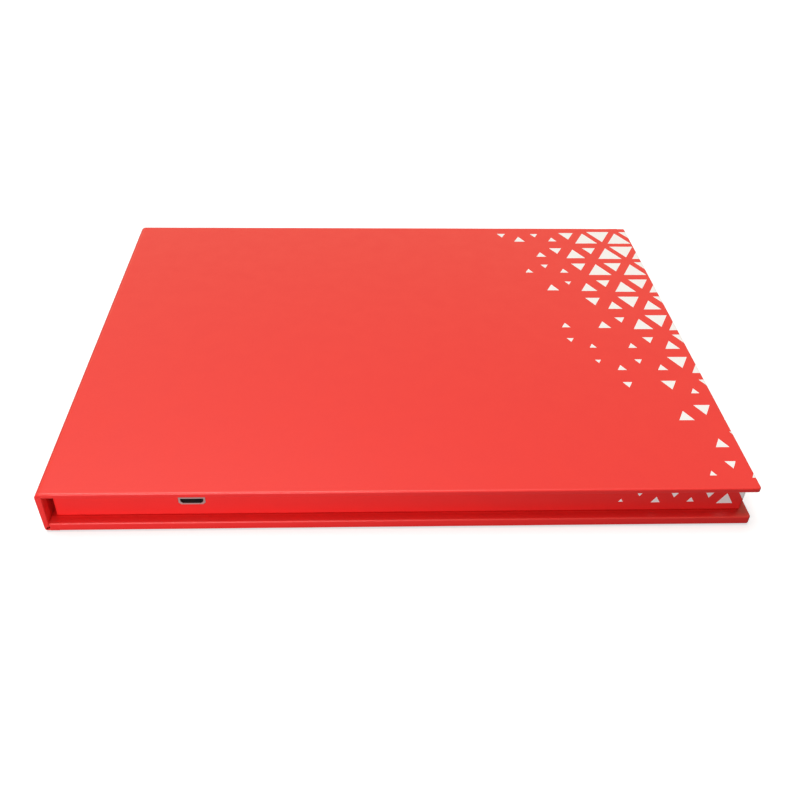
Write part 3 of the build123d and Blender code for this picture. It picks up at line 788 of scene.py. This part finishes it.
# Its wear pales the cover's rims: partly rubbed print, partly a painted highlight along the front edge.
COVER_PAPER = PrintedPaper(
    name="cover_paper", roughness=0.42, coat=0.22, wear=0.4, artwork=Print.COVER, follows_sheet=True
)
BLOCK_PAPER = PrintedPaper(name="block_paper", roughness=0.44, coat=0.1, artwork=Print.BLOCK)
LINER_PAPER = PrintedPaper(
    name="matt_liner_paper",
    colour=(0.74, 0.018, 0.016),
    second_colour=(0.68, 0.016, 0.014),
    roughness=0.62,
    roughness_change=0.1,
    specular=0.25,
    scale=1100.0,
    coarse=0.8,
    relief=0.03 * MM,
)
FACE_CARD = FaceCard(
    name="printed_face_card", roughness=0.4, roughness_change=0.1, coarse=0.3, coat=0.1
)

SLOT_FINISHES: dict[str, Finish] = {
    "case_paper": BLOCK_PAPER,
    "liner_paper": LINER_PAPER,
    "face_card": FACE_CARD,
    "greyboard": Finish(
        "pressed_greyboard", (0.36, 0.32, 0.27), (0.27, 0.24, 0.21), 0.85, scale=700.0, relief=0.06 * MM
    ),
    "base_card": Finish(
        "brown_base_card", (0.50, 0.45, 0.38), (0.42, 0.38, 0.32), 0.8, scale=900.0, relief=0.04 * MM
    ),
    "foam": Finish(
        "black_foam", (0.022, 0.022, 0.024), (0.010, 0.010, 0.011), 0.9, scale=2200.0, relief=0.12 * MM
    ),
    "adhesive": Finish(
        "clear_adhesive", (0.70, 0.69, 0.62), (0.62, 0.60, 0.54), 0.35, scale=500.0, relief=0.03 * MM
    ),
    "window_film": ClearFilm(
        "scuffed_window_film", (0.97, 0.98, 0.98), (0.97, 0.98, 0.98), 0.02,
        scale=300.0, stretch=(1.0, 6.0, 1.0),
    ),
    "screen_glass": ScreenPanel(
        "dark_screen_glass", (0.002, 0.002, 0.003), (0.010, 0.011, 0.014), 0.12, 0.02,
        specular=0.15, relief=0.0001 * MM,
    ),
    "steel_sheet": Finish(
        "brushed_steel_sheet", (0.62, 0.62, 0.63), (0.50, 0.50, 0.51), 0.32, 0.16, metallic=1.0,
        scale=900.0, stretch=(0.12, 1.0, 1.0), relief=0.004 * MM, wear=0.4,
    ),
    "light_guide": Finish(
        "milky_light_guide", (0.86, 0.87, 0.88), (0.78, 0.80, 0.82), 0.2, scale=1400.0
    ),
    "ribbon": StripedRibbon("amber_ribbon", (0.52, 0.20, 0.03), (0.38, 0.13, 0.02), 0.3, scale=800.0),
    "circuit_board": CircuitBoard(
        "green_circuit_board", (0.012, 0.085, 0.035), (0.03, 0.19, 0.08), 0.3, scale=900.0
    ),
    "chip_black": Finish(
        "moulded_chip", (0.012, 0.012, 0.013), (0.022, 0.022, 0.024), 0.55, scale=3500.0, wear=0.3
    ),
    "connector_white": Finish(
        "cream_connector", (0.78, 0.75, 0.66), (0.72, 0.69, 0.60), 0.45, scale=2500.0, wear=0.2
    ),
    "ceramic_tan": Finish(
        "fired_ceramic", (0.38, 0.26, 0.15), (0.30, 0.20, 0.12), 0.5, scale=4000.0, wear=0.3
    ),
    "ferrite": Finish("dark_ferrite", (0.03, 0.03, 0.032), (0.05, 0.05, 0.052), 0.7, scale=3000.0),
    "contact_gold": Finish(
        "plated_contact", (0.83, 0.60, 0.20), (0.72, 0.50, 0.16), 0.25, metallic=1.0, scale=3000.0
    ),
    "battery_film": Finish(
        "creased_battery_film", (0.60, 0.61, 0.63), (0.50, 0.51, 0.53), 0.35, 0.2, metallic=0.8,
        scale=220.0, coarse=1.0, relief=0.15 * MM,
    ),
    "cone_paper": RibbedCone(
        "ribbed_cone_paper", (0.020, 0.020, 0.022), (0.032, 0.032, 0.034), 0.75, relief=0.2 * MM
    ),
    "dust_mesh": WovenMesh("woven_dust_mesh", (0.030, 0.030, 0.033), (0.004, 0.004, 0.004), 0.7),
    "magnet": Finish(
        "plated_magnet", (0.66, 0.65, 0.63), (0.58, 0.57, 0.55), 0.2, 0.1, metallic=1.0, scale=1200.0
    ),
    "button_plastic": Finish(
        "white_button_plastic", (0.84, 0.84, 0.83), (0.79, 0.79, 0.78), 0.38, scale=3500.0,
        relief=0.01 * MM, wear=0.15,
    ),
}
NODE_FINISHES: dict[str, Finish] = {
    node: TwinLead(
        node, (0.010, 0.010, 0.011), (0.50, 0.02, 0.02), 0.35, scale=2500.0, node=node, axis=axis
    )
    for node, axis in (("battery_leads", 0), ("speaker_leads", 1))
} | {
    # The shell's dark colour is painted shade of the socket's inside; its rim has a painted highlight.
    "usb_shell": SocketShell(
        "socket_shell_painted_light", (0.16, 0.13, 0.13), (0.12, 0.10, 0.10), 0.3, metallic=0.6, scale=2500.0
    ),
    # Near-black tongue: painted shade of the socket's inside.
    "usb_tongue": Finish(
        "socket_tongue_painted_shade", (0.012, 0.010, 0.010), (0.020, 0.017, 0.017), 0.5, scale=3500.0
    ),
}
BUTTON_INK = Finish("button_ink", (0.05, 0.05, 0.055), (0.08, 0.08, 0.085), 0.5, scale=5000.0)


# ---------------------------------------------------------------- meshes


def put(name: str, data: bpy.types.ID) -> bpy.types.Object:
    """Makes an object and puts it in the scene.

    Args:
        name: The object's name.
        data: Its mesh, light or camera.

    Returns:
        The object.
    """
    made = bpy.data.objects.new(name, data)
    bpy.context.scene.collection.objects.link(made)
    return made


def drawn(name: str, drawing: bmesh.types.BMesh, *finishes: Finish) -> bpy.types.Object:
    """Turns a drawing into an object in the scene, and frees the drawing.

    Args:
        name: The object's name.
        drawing: Its mesh.
        finishes: What its material slots show.

    Returns:
        The object.
    """
    mesh = bpy.data.meshes.new(name)
    drawing.to_mesh(mesh)
    drawing.free()
    for finish in finishes:
        mesh.materials.append(finish.material())
    return put(name, mesh)


@dataclass
class Sheet:
    """Sheet of paper that is drawn as rows of points and then given its thickness."""

    name: str
    thickness: float
    drawing: bmesh.types.BMesh = field(default_factory=bmesh.new)
    merged: float = 0.002 * MM  # points closer than this are one
    shortest: float = 0.001 * MM
    sharp: float = 38.0  # degrees between faces from which their edge stays sharp

    def strip(self, rows: list[list[Vector]]) -> None:
        """Joins rows of equally many points with faces.

        Args:
            rows: The rows, from one edge to the other.
        """
        made = [[self.drawing.verts.new(point) for point in row] for row in rows]
        for near, far in zip(made, made[1:]):
            for i in range(len(near) - 1):
                self.drawing.faces.new((near[i], near[i + 1], far[i + 1], far[i]))

    def plate(self, outline: list[Vector]) -> None:
        """Adds one flat face."""
        self.drawing.faces.new([self.drawing.verts.new(point) for point in outline])

    def piece(self, outward: Vector, *finishes: Finish) -> bpy.types.Object:
        """Closes the drawing into a piece, and stores where its points lie at rest.

        Args:
            outward: Direction that the sheet's largest face looks in.
            finishes: The outer finish, and that of the inner side if it has its own.

        Returns:
            The piece, with its thickness inward of what was drawn.
        """
        edges, faces = self.drawing.edges, self.drawing.faces
        bmesh.ops.remove_doubles(self.drawing, verts=self.drawing.verts, dist=self.merged)
        bmesh.ops.dissolve_degenerate(self.drawing, edges=edges, dist=self.shortest)
        bmesh.ops.recalc_face_normals(self.drawing, faces=faces)
        largest = max(faces, key=lambda face: face.calc_area())
        if largest.normal.dot(outward) < 0:
            bmesh.ops.reverse_faces(self.drawing, faces=faces)
        made = drawn(self.name, self.drawing, *finishes)
        solid = made.modifiers.new("thickness", "SOLIDIFY")
        solid.thickness = self.thickness
        solid.offset = -1.0
        solid.use_even_offset = True
        solid.material_offset = len(finishes) - 1
        graph = bpy.context.evaluated_depsgraph_get()
        mesh = bpy.data.meshes.new_from_object(made.evaluated_get(graph))
        made.modifiers.clear()
        made.data = mesh
        mesh.shade_smooth()
        mesh.set_sharp_from_angle(angle=math.radians(self.sharp))
        rest = mesh.attributes.new(REST_PLACE, "FLOAT_VECTOR", "POINT")
        rest.data.foreach_set("vector", [part for vert in mesh.vertices for part in vert.co])
        return made


def between(start: float, end: float, steps: int) -> list[float]:
    """Evenly spaced values, both ends included."""
    return [start + (end - start) * i / steps for i in range(steps + 1)]


def arc(middle: RowPoint, radius: float, start: float, end: float, steps: int) -> list[RowPoint]:
    """Points on an arc, in degrees, both ends included."""
    turns = [math.radians(angle) for angle in between(start, end, steps)]
    return [(middle[0] + radius * math.cos(t), middle[1] + radius * math.sin(t)) for t in turns]


# ---------------------------------------------------------------- paper of the case


@dataclass
class Rim:
    """Section of a paper-wrapped edge: out of the turn-in, round the board and on to the face."""

    thickness: float
    turn_in: float = 3.0 * MM
    rounding: float = 0.5 * MM
    inner_rounding: float = 0.4 * MM
    lip: float = 0.62 * MM
    support: float = 0.9 * MM
    tuck: float = 0.17 * MM
    seam: float = 0.02 * MM
    step_in: float = 0.03 * MM
    buried: float = 0.2 * MM
    steps: int = 6

    def outer(self) -> list[RowPoint]:
        """From the lip over the rounded edge to the flat face."""
        turn = arc((self.rounding, self.rounding), self.rounding, 180, 270, self.steps)
        return [(0.0, self.lip), *turn, (self.support, 0.0)]

    def inner(self) -> list[RowPoint]:
        """Runs from the turned-in paper's edge round to the side of the board.

        Returns:
            The section's points.
        """
        middle = (self.inner_rounding, self.thickness - self.inner_rounding)
        turn = arc(middle, self.inner_rounding, 90, 180, self.steps)
        return [(self.turn_in, self.thickness), *turn]

    def whole(self) -> list[RowPoint]:
        """The full section."""
        return [*self.inner(), *self.outer()]

    def turned(self) -> list[RowPoint]:
        """Section that steps in behind the lip of the sheet over it and runs on below its face."""
        edge = self.lip + self.seam
        return [*self.inner(), (0.0, edge), (self.step_in, edge), (self.step_in, self.buried)]


@dataclass
class Station:
    """Place on the paper's line from a cover to mid-spine."""

    point: Vector
    way: Vector  # towards the inside of the case
    lip: float
    backing: float


@dataclass
class SpineLean:
    """How far the paper over the spine stands off its board, towards the front cover."""

    reach: float = 0.45 * MM
    foot: float = 1.0 * MM
    top: float = 13.7 * MM

    def at(self, z: float) -> float:
        """Distance outward at a height."""
        return self.reach * min(max((z - self.foot) / (self.top - self.foot), 0.0), 1.0)


@dataclass
class CaseSheet:
    """One cover's outer paper, running on round its hinge to the middle of the spine."""

    name: str
    cover_body: str
    face_z: float
    inward: float  # +1 where the board lies above the paper, -1 where it lies below
    rim: Rim
    bend: float
    split_z: float
    wrap_from: float  # x from which the paper wraps the whole board
    board_end: float
    lean: SpineLean
    backing: float  # depth of the paper folded in behind the lips
    bend_backing: float
    corner: float = 1.0 * MM
    corner_steps: int = 6
    long_steps: int = 40
    short_steps: int = 28
    flat_steps: int = 4
    bend_steps: int = 10
    spine_steps: int = 6
    wave: float = 0.05 * MM  # how uneven the free edges are
    wave_scale: float = 55.0
    calm: float = 10.0 * MM  # length over which the unevenness fades out towards the hinge
    end_gap: float = 0.06 * MM  # from the board's end to the paper that wraps it
    end_corner: float = 0.25 * MM
    end_corner_steps: int = 4

    @property
    def lift(self) -> Vector:
        """Direction from the paper's face to the inside of the case."""
        return Vector((0.0, 0.0, self.inward))

    def level(self, places: Outline, depth: float) -> list[Vector]:
        """Points at a depth below the outer face."""
        return [Vector((x, y, self.face_z + self.inward * depth)) for x, y in places]

    def outline(self, inset: float) -> Outline:
        """Draws the free edges of the cover, from its hinge round to its hinge.

        Args:
            inset: How far they are drawn in.

        Returns:
            Their points from above.
        """
        radius = max(self.corner - inset, 0.0)
        reach = max(self.corner, inset)
        right = cad_high.x - reach
        front = cad_low.y + reach
        back = cad_high.y - reach
        there = between(self.wrap_from, right, self.long_steps)
        side = between(front, back, self.short_steps)
        points = [(x, cad_low.y + inset) for x in there[:-1]]
        points += arc((right, front), radius, -90, 0, self.corner_steps)
        points += [(cad_high.x - inset, y) for y in side[1:-1]]
        points += arc((right, back), radius, 0, 90, self.corner_steps)
        points += [(x, cad_high.y - inset) for x in reversed(there[:-1])]
        return points

    def stations(self) -> list[Station]:
        """Walks down the paper's line from the cover to mid-spine.

        Returns:
            The places where a row of points goes across.
        """
        lean = self.lean.at(self.face_z + self.inward * self.bend)
        middle = Vector((cad_low.x - lean + self.bend, 0.0, self.face_z + self.inward * self.bend))
        line = [
            Station(Vector((x, 0.0, self.face_z)), self.lift, self.rim.lip, self.backing)
            for x in between(self.wrap_from, middle.x, self.flat_steps)[:-1]
        ]
        for angle in between(0, 90, self.bend_steps):
            turn = math.radians(angle)
            way = Vector((math.sin(turn), 0.0, self.inward * math.cos(turn)))
            lip = self.rim.lip + lean * math.sin(turn)
            line.append(Station(middle - way * self.bend, way, lip, self.bend_backing))
        for z in between(middle.z, self.split_z, self.spine_steps)[1:]:
            out = self.lean.at(z)
            point = Vector((cad_low.x - out, 0.0, z))
            across = Vector((1.0, 0.0, 0.0))
            line.append(Station(point, across, self.rim.lip + out, self.backing + out))
        return line

    def cross_row(self, station: Station) -> list[Vector]:
        """Draws a row of points across the case, with both ends folded in.

        Args:
            station: Where it goes.

        Returns:
            The row, from front to back.
        """
        lip_end, *over = self.rim.outer()
        section = [
            (self.rim.tuck, max(station.backing, station.lip + self.rim.seam)),
            (self.rim.tuck, station.lip),
            (lip_end[0], station.lip),
            *over,
        ]
        across = [(cad_low.y + inset, depth) for inset, depth in section]
        across += [(cad_high.y - inset, depth) for inset, depth in reversed(section)]
        return [station.point + station.way * depth + Vector((0.0, y, 0.0)) for y, depth in across]

    def ripple(self, sheet: Sheet) -> None:
        """Makes the free edges very slightly uneven, as hand-turned paper is.

        Args:
            sheet: The sheet that they belong to.
        """
        rounding_error = 0.01
        for vert in sheet.drawing.verts:
            from_side = cad_high.x - vert.co.x
            from_end = min(vert.co.y - cad_low.y, cad_high.y - vert.co.y)
            if min(from_side, from_end) > self.rim.support * (1 + rounding_error):
                continue
            from_hinge = min(max((vert.co.x - self.wrap_from) / self.calm, 0.0), 1.0)
            shift = noise.noise_vector(vert.co * self.wave_scale) * self.wave * from_hinge
            sideways = -abs(shift.x) if from_side < from_end else 0.0
            vert.co += Vector((sideways, 0.0, self.inward * abs(shift.z)))

    def build(self) -> bpy.types.Object:
        """Builds the sheet and bends it across its hinge.

        Returns:
            The piece.
        """
        sheet = Sheet(self.name, OUTER_PAPER)
        sheet.strip([self.level(self.outline(inset), depth) for inset, depth in self.rim.whole()])
        sheet.plate(self.level(self.outline(self.rim.support), 0.0))
        sheet.strip([self.cross_row(station) for station in self.stations()])
        self.ripple(sheet)
        made = sheet.piece(-self.lift, COVER_PAPER, LINER_PAPER)
        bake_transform(made)
        return made

    def build_turn_in(self) -> bpy.types.Object:
        """Builds the paper that wraps the board's hinge end, below the outer sheet's lips.

        Returns:
            The piece.
        """
        sheet = Sheet(f"{self.cover_body}_hinge_turn_in", TURNED_PAPER)
        end_x = self.board_end - self.end_gap
        rows = []
        for inset, depth in self.rim.turned():
            radius = max(self.end_corner - inset, 0.0)
            front = cad_low.y + inset
            back = cad_high.y - inset
            line = [(self.wrap_from, front)]
            for y, start in ((front + radius, 270), (back - radius, 180)):
                line += arc((end_x + radius, y), radius, start, start - 90, self.end_corner_steps)
            rows.append(self.level([*line, (self.wrap_from, back)], depth))
        sheet.strip(rows)
        made = sheet.piece(Vector((-1.0, 0.0, 0.0)), COVER_PAPER)
        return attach(made, self.cover_body)


@dataclass
class SpineWrap:
    """Paper round the ends and the inner edges of the spine board."""

    rim: Rim
    grow: float = 0.05 * MM

    def build(self) -> bpy.types.Object:
        """Builds the wrap as a ring round the board, open towards the outer sheet.

        Returns:
            The piece.
        """
        low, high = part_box("spine_board")
        foot = low.z - self.grow
        top = high.z + self.grow
        sheet = Sheet("spine_turn_in", TURNED_PAPER)
        rows = []
        for inset, depth in self.rim.turned():
            front = cad_low.y + inset
            back = cad_high.y - inset
            ring = [(front, foot), (front, top), (back, top), (back, foot), (front, foot)]
            rows.append([Vector((cad_low.x + depth, y, z)) for y, z in ring])
        sheet.strip(rows)
        made = sheet.piece(Vector((0.0, 0.0, 1.0)), COVER_PAPER)
        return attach(made, "spine")


@dataclass
class CasePapers:
    """All the paper round the three boards of the case."""

    split_z: float = 7.7 * MM
    hinge_width: float = 4.6 * MM
    spine_inner_rounding: float = 0.35 * MM
    lean: SpineLean = field(default_factory=SpineLean)

    def sheet(self, cover: str, inner_z: float, **sizes: float) -> CaseSheet:
        """Lays out the outer paper of one cover.

        Args:
            cover: The cover's body.
            inner_z: Height of the cover's inner face.
            sizes: What differs between the two covers.

        Returns:
            The sheet, not yet built.
        """
        return CaseSheet(
            cover_body=cover,
            rim=Rim(abs(inner_z - sizes["face_z"])),
            split_z=self.split_z,
            wrap_from=cad_low.x + self.hinge_width,
            board_end=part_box(f"{cover}_board")[0].x,
            lean=self.lean,
            **sizes,
        )

    def build(self) -> None:
        """Builds the sheets, and hides the frame's wraps, which they stand in for."""
        front_low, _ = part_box("front_cover_liner")
        _, back_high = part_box("back_cover_liner")
        _, spine_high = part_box("spine_liner")
        front = self.sheet(
            "front_cover",
            front_low.z,
            name="case_paper_front",
            face_z=cad_high.z,
            inward=-1.0,
            bend=2.0 * MM,
            backing=1.3 * MM,
            bend_backing=1.6 * MM,
        )
        back = self.sheet(
            "back_cover",
            back_high.z,
            name="case_paper_back",
            face_z=cad_low.z,
            inward=1.0,
            bend=0.9 * MM,
            backing=1.0 * MM,
            bend_backing=0.0,
        )
        spine_rim = Rim(spine_high.x - cad_low.x, inner_rounding=self.spine_inner_rounding)
        papers = {
            "front_cover_wrap": front.build(),
            "back_cover_wrap": back.build(),
            "spine_wrap": SpineWrap(spine_rim).build(),
        }
        for node, paper in papers.items():
            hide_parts(node)
            log.info("%s stands for %s", paper.name, node)
        for sheet in (front, back):
            log.info("%s wraps the hinge end of its board", sheet.build_turn_in().name)


# ---------------------------------------------------------------- push buttons


def bar(middle: float, width: float, height: float) -> Outline:
    """Corners of a bar that stands at a place left or right of the centre."""
    right, top = width / 2, height / 2
    return [(middle + x, y) for x, y in ((-right, -top), (right, -top), (right, top), (-right, top))]


def arrow(back: float, tip: float, half: float) -> Outline:
    """Corners of a triangle that points from its back edge to its tip."""
    return [(back, -half), (tip, 0.0), (back, half)]


def cross(arm: float, half: float) -> Outline:
    """Draws a plus sign.

    Args:
        arm: From the centre to the end of an arm.
        half: Half the width of an arm.

    Returns:
        Its corners.
    """
    quarter = [(half, -arm), (half, -half), (arm, -half)]
    corners = []
    for _ in range(4):
        corners += quarter
        quarter = [(-y, x) for x, y in quarter]
    return corners


class Mark(Enum):
    """Plain sign on each push button, as outlines in millimetres from the cap's centre."""

    previous = (bar(-1.65, 0.5, 2.4), arrow(1.3, -1.2, 1.3))
    volume_down = (bar(0.0, 2.8, 0.5),)
    play = (arrow(-1.0, 1.6, 1.5),)
    volume_up = (cross(1.4, 0.25),)
    next = (arrow(-1.3, 1.2, 1.3), bar(1.65, 0.5, 2.4))


@dataclass
class ButtonMarks:
    """Signs that stand a little proud of the button caps."""

    height: float = 0.05 * MM
    root: float = 0.05 * MM
    edge: float = 0.015 * MM

    def build(self) -> None:
        """Builds every sign on its own button."""
        for mark in Mark:
            log.info("%s rides on its button", self.build_mark(mark).name)

    def build_mark(self, mark: Mark) -> bpy.types.Object:
        """Builds one button's sign.

        Args:
            mark: Which sign.

        Returns:
            The piece, riding on its button.
        """
        middle, half = middle_and_half(f"button_{mark.name}")
        foot = Vector((middle.x, middle.y, middle.z + half.z - self.root))
        drawing = bmesh.new()
        for outline in mark.value:
            corners = [drawing.verts.new(foot + Vector((x, y, 0.0)) * MM) for x, y in outline]
            face = drawing.faces.new(corners)
            raised = bmesh.ops.extrude_face_region(drawing, geom=[face])["geom"]
            top = [item for item in raised if isinstance(item, bmesh.types.BMVert)]
            bmesh.ops.translate(drawing, verts=top, vec=(0.0, 0.0, self.root + self.height))
        bmesh.ops.recalc_face_normals(drawing, faces=drawing.faces)
        edges = list(drawing.edges)
        bmesh.ops.bevel(drawing, geom=edges, offset=self.edge, segments=2, affect="EDGES")
        made = drawn(f"mark_{mark.name}", drawing, BUTTON_INK)
        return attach(made, f"{mark.name}_button")


# ---------------------------------------------------------------- frame pieces


@dataclass
class FramePieces:
    """The frame's own pieces, which keep their shape and get a finish."""

    def dress(self) -> None:
        """Gives every node the finish of its slot, or its own."""
        for name, node in sorted(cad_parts.items()):
            slot_name = node.material_slots[0].material.name
            finish = NODE_FINISHES.get(name) or SLOT_FINISHES[slot_name]
            for slot in node.material_slots:
                slot.material = finish.material()
            log.info("%s is finished as %s", name, finish.name)


# ---------------------------------------------------------------- studio


@dataclass(frozen=True)
class Lamp:
    """Light's power and colour, where it stands and what it is aimed at."""

    energy: float
    colour: Colour
    place: Triple
    target: Triple = (0.0, 0.0, 0.0)

    def set_up(self, light: bpy.types.Light) -> None:
        """Puts a light in the scene.

        Args:
            light: The light, with its shape.
        """
        light.energy = self.energy
        light.color = self.colour
        lamp = put(light.name, light)
        lamp.location = self.place
        lamp.rotation_mode = "QUATERNION"
        way = Vector(self.target) - Vector(self.place)
        lamp.rotation_quaternion = way.to_track_quat("-Z", "Y")


@dataclass
class Studio:
    """Pale floor, soft light and the photograph's camera."""

    frame_pixels: float = 800.0
    focal_pixels: float = 843.28
    middle_pixels: tuple[float, float] = (381.1, 290.7)
    camera_place: Triple = (-15.89 * MM, -249.09 * MM, 204.29 * MM)
    pitch: float = 34.247
    yaw: float = 2.549
    roll: float = 1.445
    sensor: float = 36.0
    nearest: float = 10.0 * MM
    overhead: Lamp = Lamp(2.66, (1.0, 0.97, 0.93), (-0.35, 0.25, 1.9))
    overhead_angle: float = 40.0
    window: Lamp = Lamp(0.53, (1.0, 0.96, 0.97), (-0.10, -0.30, 0.050), (-0.04, -0.05, 0.0))
    window_size: tuple[float, float] = (0.20, 0.12)
    ambient: float = 0.09
    sheen: float = 0.95
    sheen_colour: Colour = (1.0, 0.97, 0.66)
    floor_reach: float = 4.0
    floor_drop: float = 0.5 * MM  # room for the spine's paper when the case lies open
    floor_glow: float = 0.60
    floor_seen: Colour = (0.60, 0.60, 0.60)
    floor_in_bounces: Colour = (0.20, 0.19, 0.19)
    floor_roughness: float = 0.9

    def build(self) -> None:
        """Builds the floor, the lamps, the world and the camera."""
        self.build_floor()
        self.build_world()
        self.build_lamps()
        self.build_camera()
        bpy.context.scene.view_settings.view_transform = "Standard"

    def seen(self, desk: NodeDesk, strength: float) -> Socket:
        """Makes a value for rays that see the background directly, and 0 for the rest.

        Args:
            desk: Desk of the floor's material or of the world.
            strength: The value.

        Returns:
            Its socket.
        """
        path = desk.add("ShaderNodeLightPath").outputs
        direct = desk.calc("MAXIMUM", path["Is Camera Ray"], path["Is Transmission Ray"])
        return desk.span(direct, 0.0, 1.0, 0.0, strength)

    def build_floor(self) -> None:
        """White floor that keeps the object's shadow."""
        mesh = bpy.data.meshes.new("floor")
        out, z = self.floor_reach, cad_low.z - self.floor_drop
        corners = [(-out, -out, z), (out, -out, z), (out, out, z), (-out, out, z)]
        mesh.from_pydata(corners, [], [(0, 1, 2, 3)])
        paint = bpy.data.materials.new("floor_white")
        paint.use_nodes = True
        desk = NodeDesk(paint.node_tree)
        shader = paint.node_tree.nodes["Principled BSDF"]
        colour = desk.mix(self.seen(desk, 1.0), self.floor_in_bounces, self.floor_seen)
        desk.feed(shader.inputs["Base Color"], colour)
        shader.inputs["Roughness"].default_value = self.floor_roughness
        shader.inputs["Specular IOR Level"].default_value = 0.0
        shader.inputs["Emission Color"].default_value = (1.0, 1.0, 1.0, 1.0)
        desk.feed(shader.inputs["Emission Strength"], self.seen(desk, self.floor_glow))
        mesh.materials.append(paint)
        put("floor", mesh)

    def build_world(self) -> None:
        """White surroundings, dim as a light and bright where they are seen or reflected."""
        world = bpy.data.worlds.new("white_room")
        world.use_nodes = True
        bpy.context.scene.world = world
        desk = NodeDesk(world.node_tree)
        background = world.node_tree.nodes["Background"]
        reflected = desk.add("ShaderNodeLightPath").outputs["Is Glossy Ray"]
        tint = desk.mix(reflected, (1.0, 1.0, 1.0), self.sheen_colour)
        desk.feed(background.inputs["Color"], tint)
        lit = desk.span(reflected, 0.0, 1.0, self.ambient, self.sheen)
        desk.feed(background.inputs["Strength"], desk.calc("MAXIMUM", self.seen(desk, 1.0), lit))

    def build_lamps(self) -> None:
        """A broad light from above and behind, and a window near the front left."""
        sun = bpy.data.lights.new("overhead", "SUN")
        sun.angle = math.radians(self.overhead_angle)
        self.overhead.set_up(sun)
        panel = bpy.data.lights.new("window", "AREA")
        panel.shape = "RECTANGLE"
        panel.size, panel.size_y = self.window_size
        self.window.set_up(panel)

    def build_camera(self) -> None:
        """Camera that was fitted to the case's corners in the photograph."""
        lens = bpy.data.cameras.new("camera")
        lens.sensor_width = self.sensor
        lens.lens = self.focal_pixels / self.frame_pixels * self.sensor
        lens.shift_x = (self.frame_pixels / 2 - self.middle_pixels[0]) / self.frame_pixels
        lens.shift_y = (self.middle_pixels[1] - self.frame_pixels / 2) / self.frame_pixels
        lens.clip_start = self.nearest
        pitch, yaw, roll = (math.radians(angle) for angle in (self.pitch, self.yaw, self.roll))
        forward = Vector(
            (math.sin(yaw) * math.cos(pitch), math.cos(yaw) * math.cos(pitch), -math.sin(pitch))
        )
        level = Vector((math.cos(yaw), -math.sin(yaw), 0.0))
        upright = level.cross(forward)
        right = level * math.cos(roll) + upright * math.sin(roll)
        up = upright * math.cos(roll) - level * math.sin(roll)
        turn = Matrix((right, up, -forward)).transposed().to_4x4()
        camera = put("camera", lens)
        camera.matrix_world = Matrix.Translation(self.camera_place) @ turn
        bpy.context.scene.camera = camera


# ---------------------------------------------------------------- the whole


def main() -> None:
    """Builds everything in order."""
    logging.basicConfig(level=logging.INFO, format="%(name)s: %(message)s")
    FramePieces().dress()
    CasePapers().build()
    ButtonMarks().build()
    Studio().build()


if __name__ == "__main__":
    main()
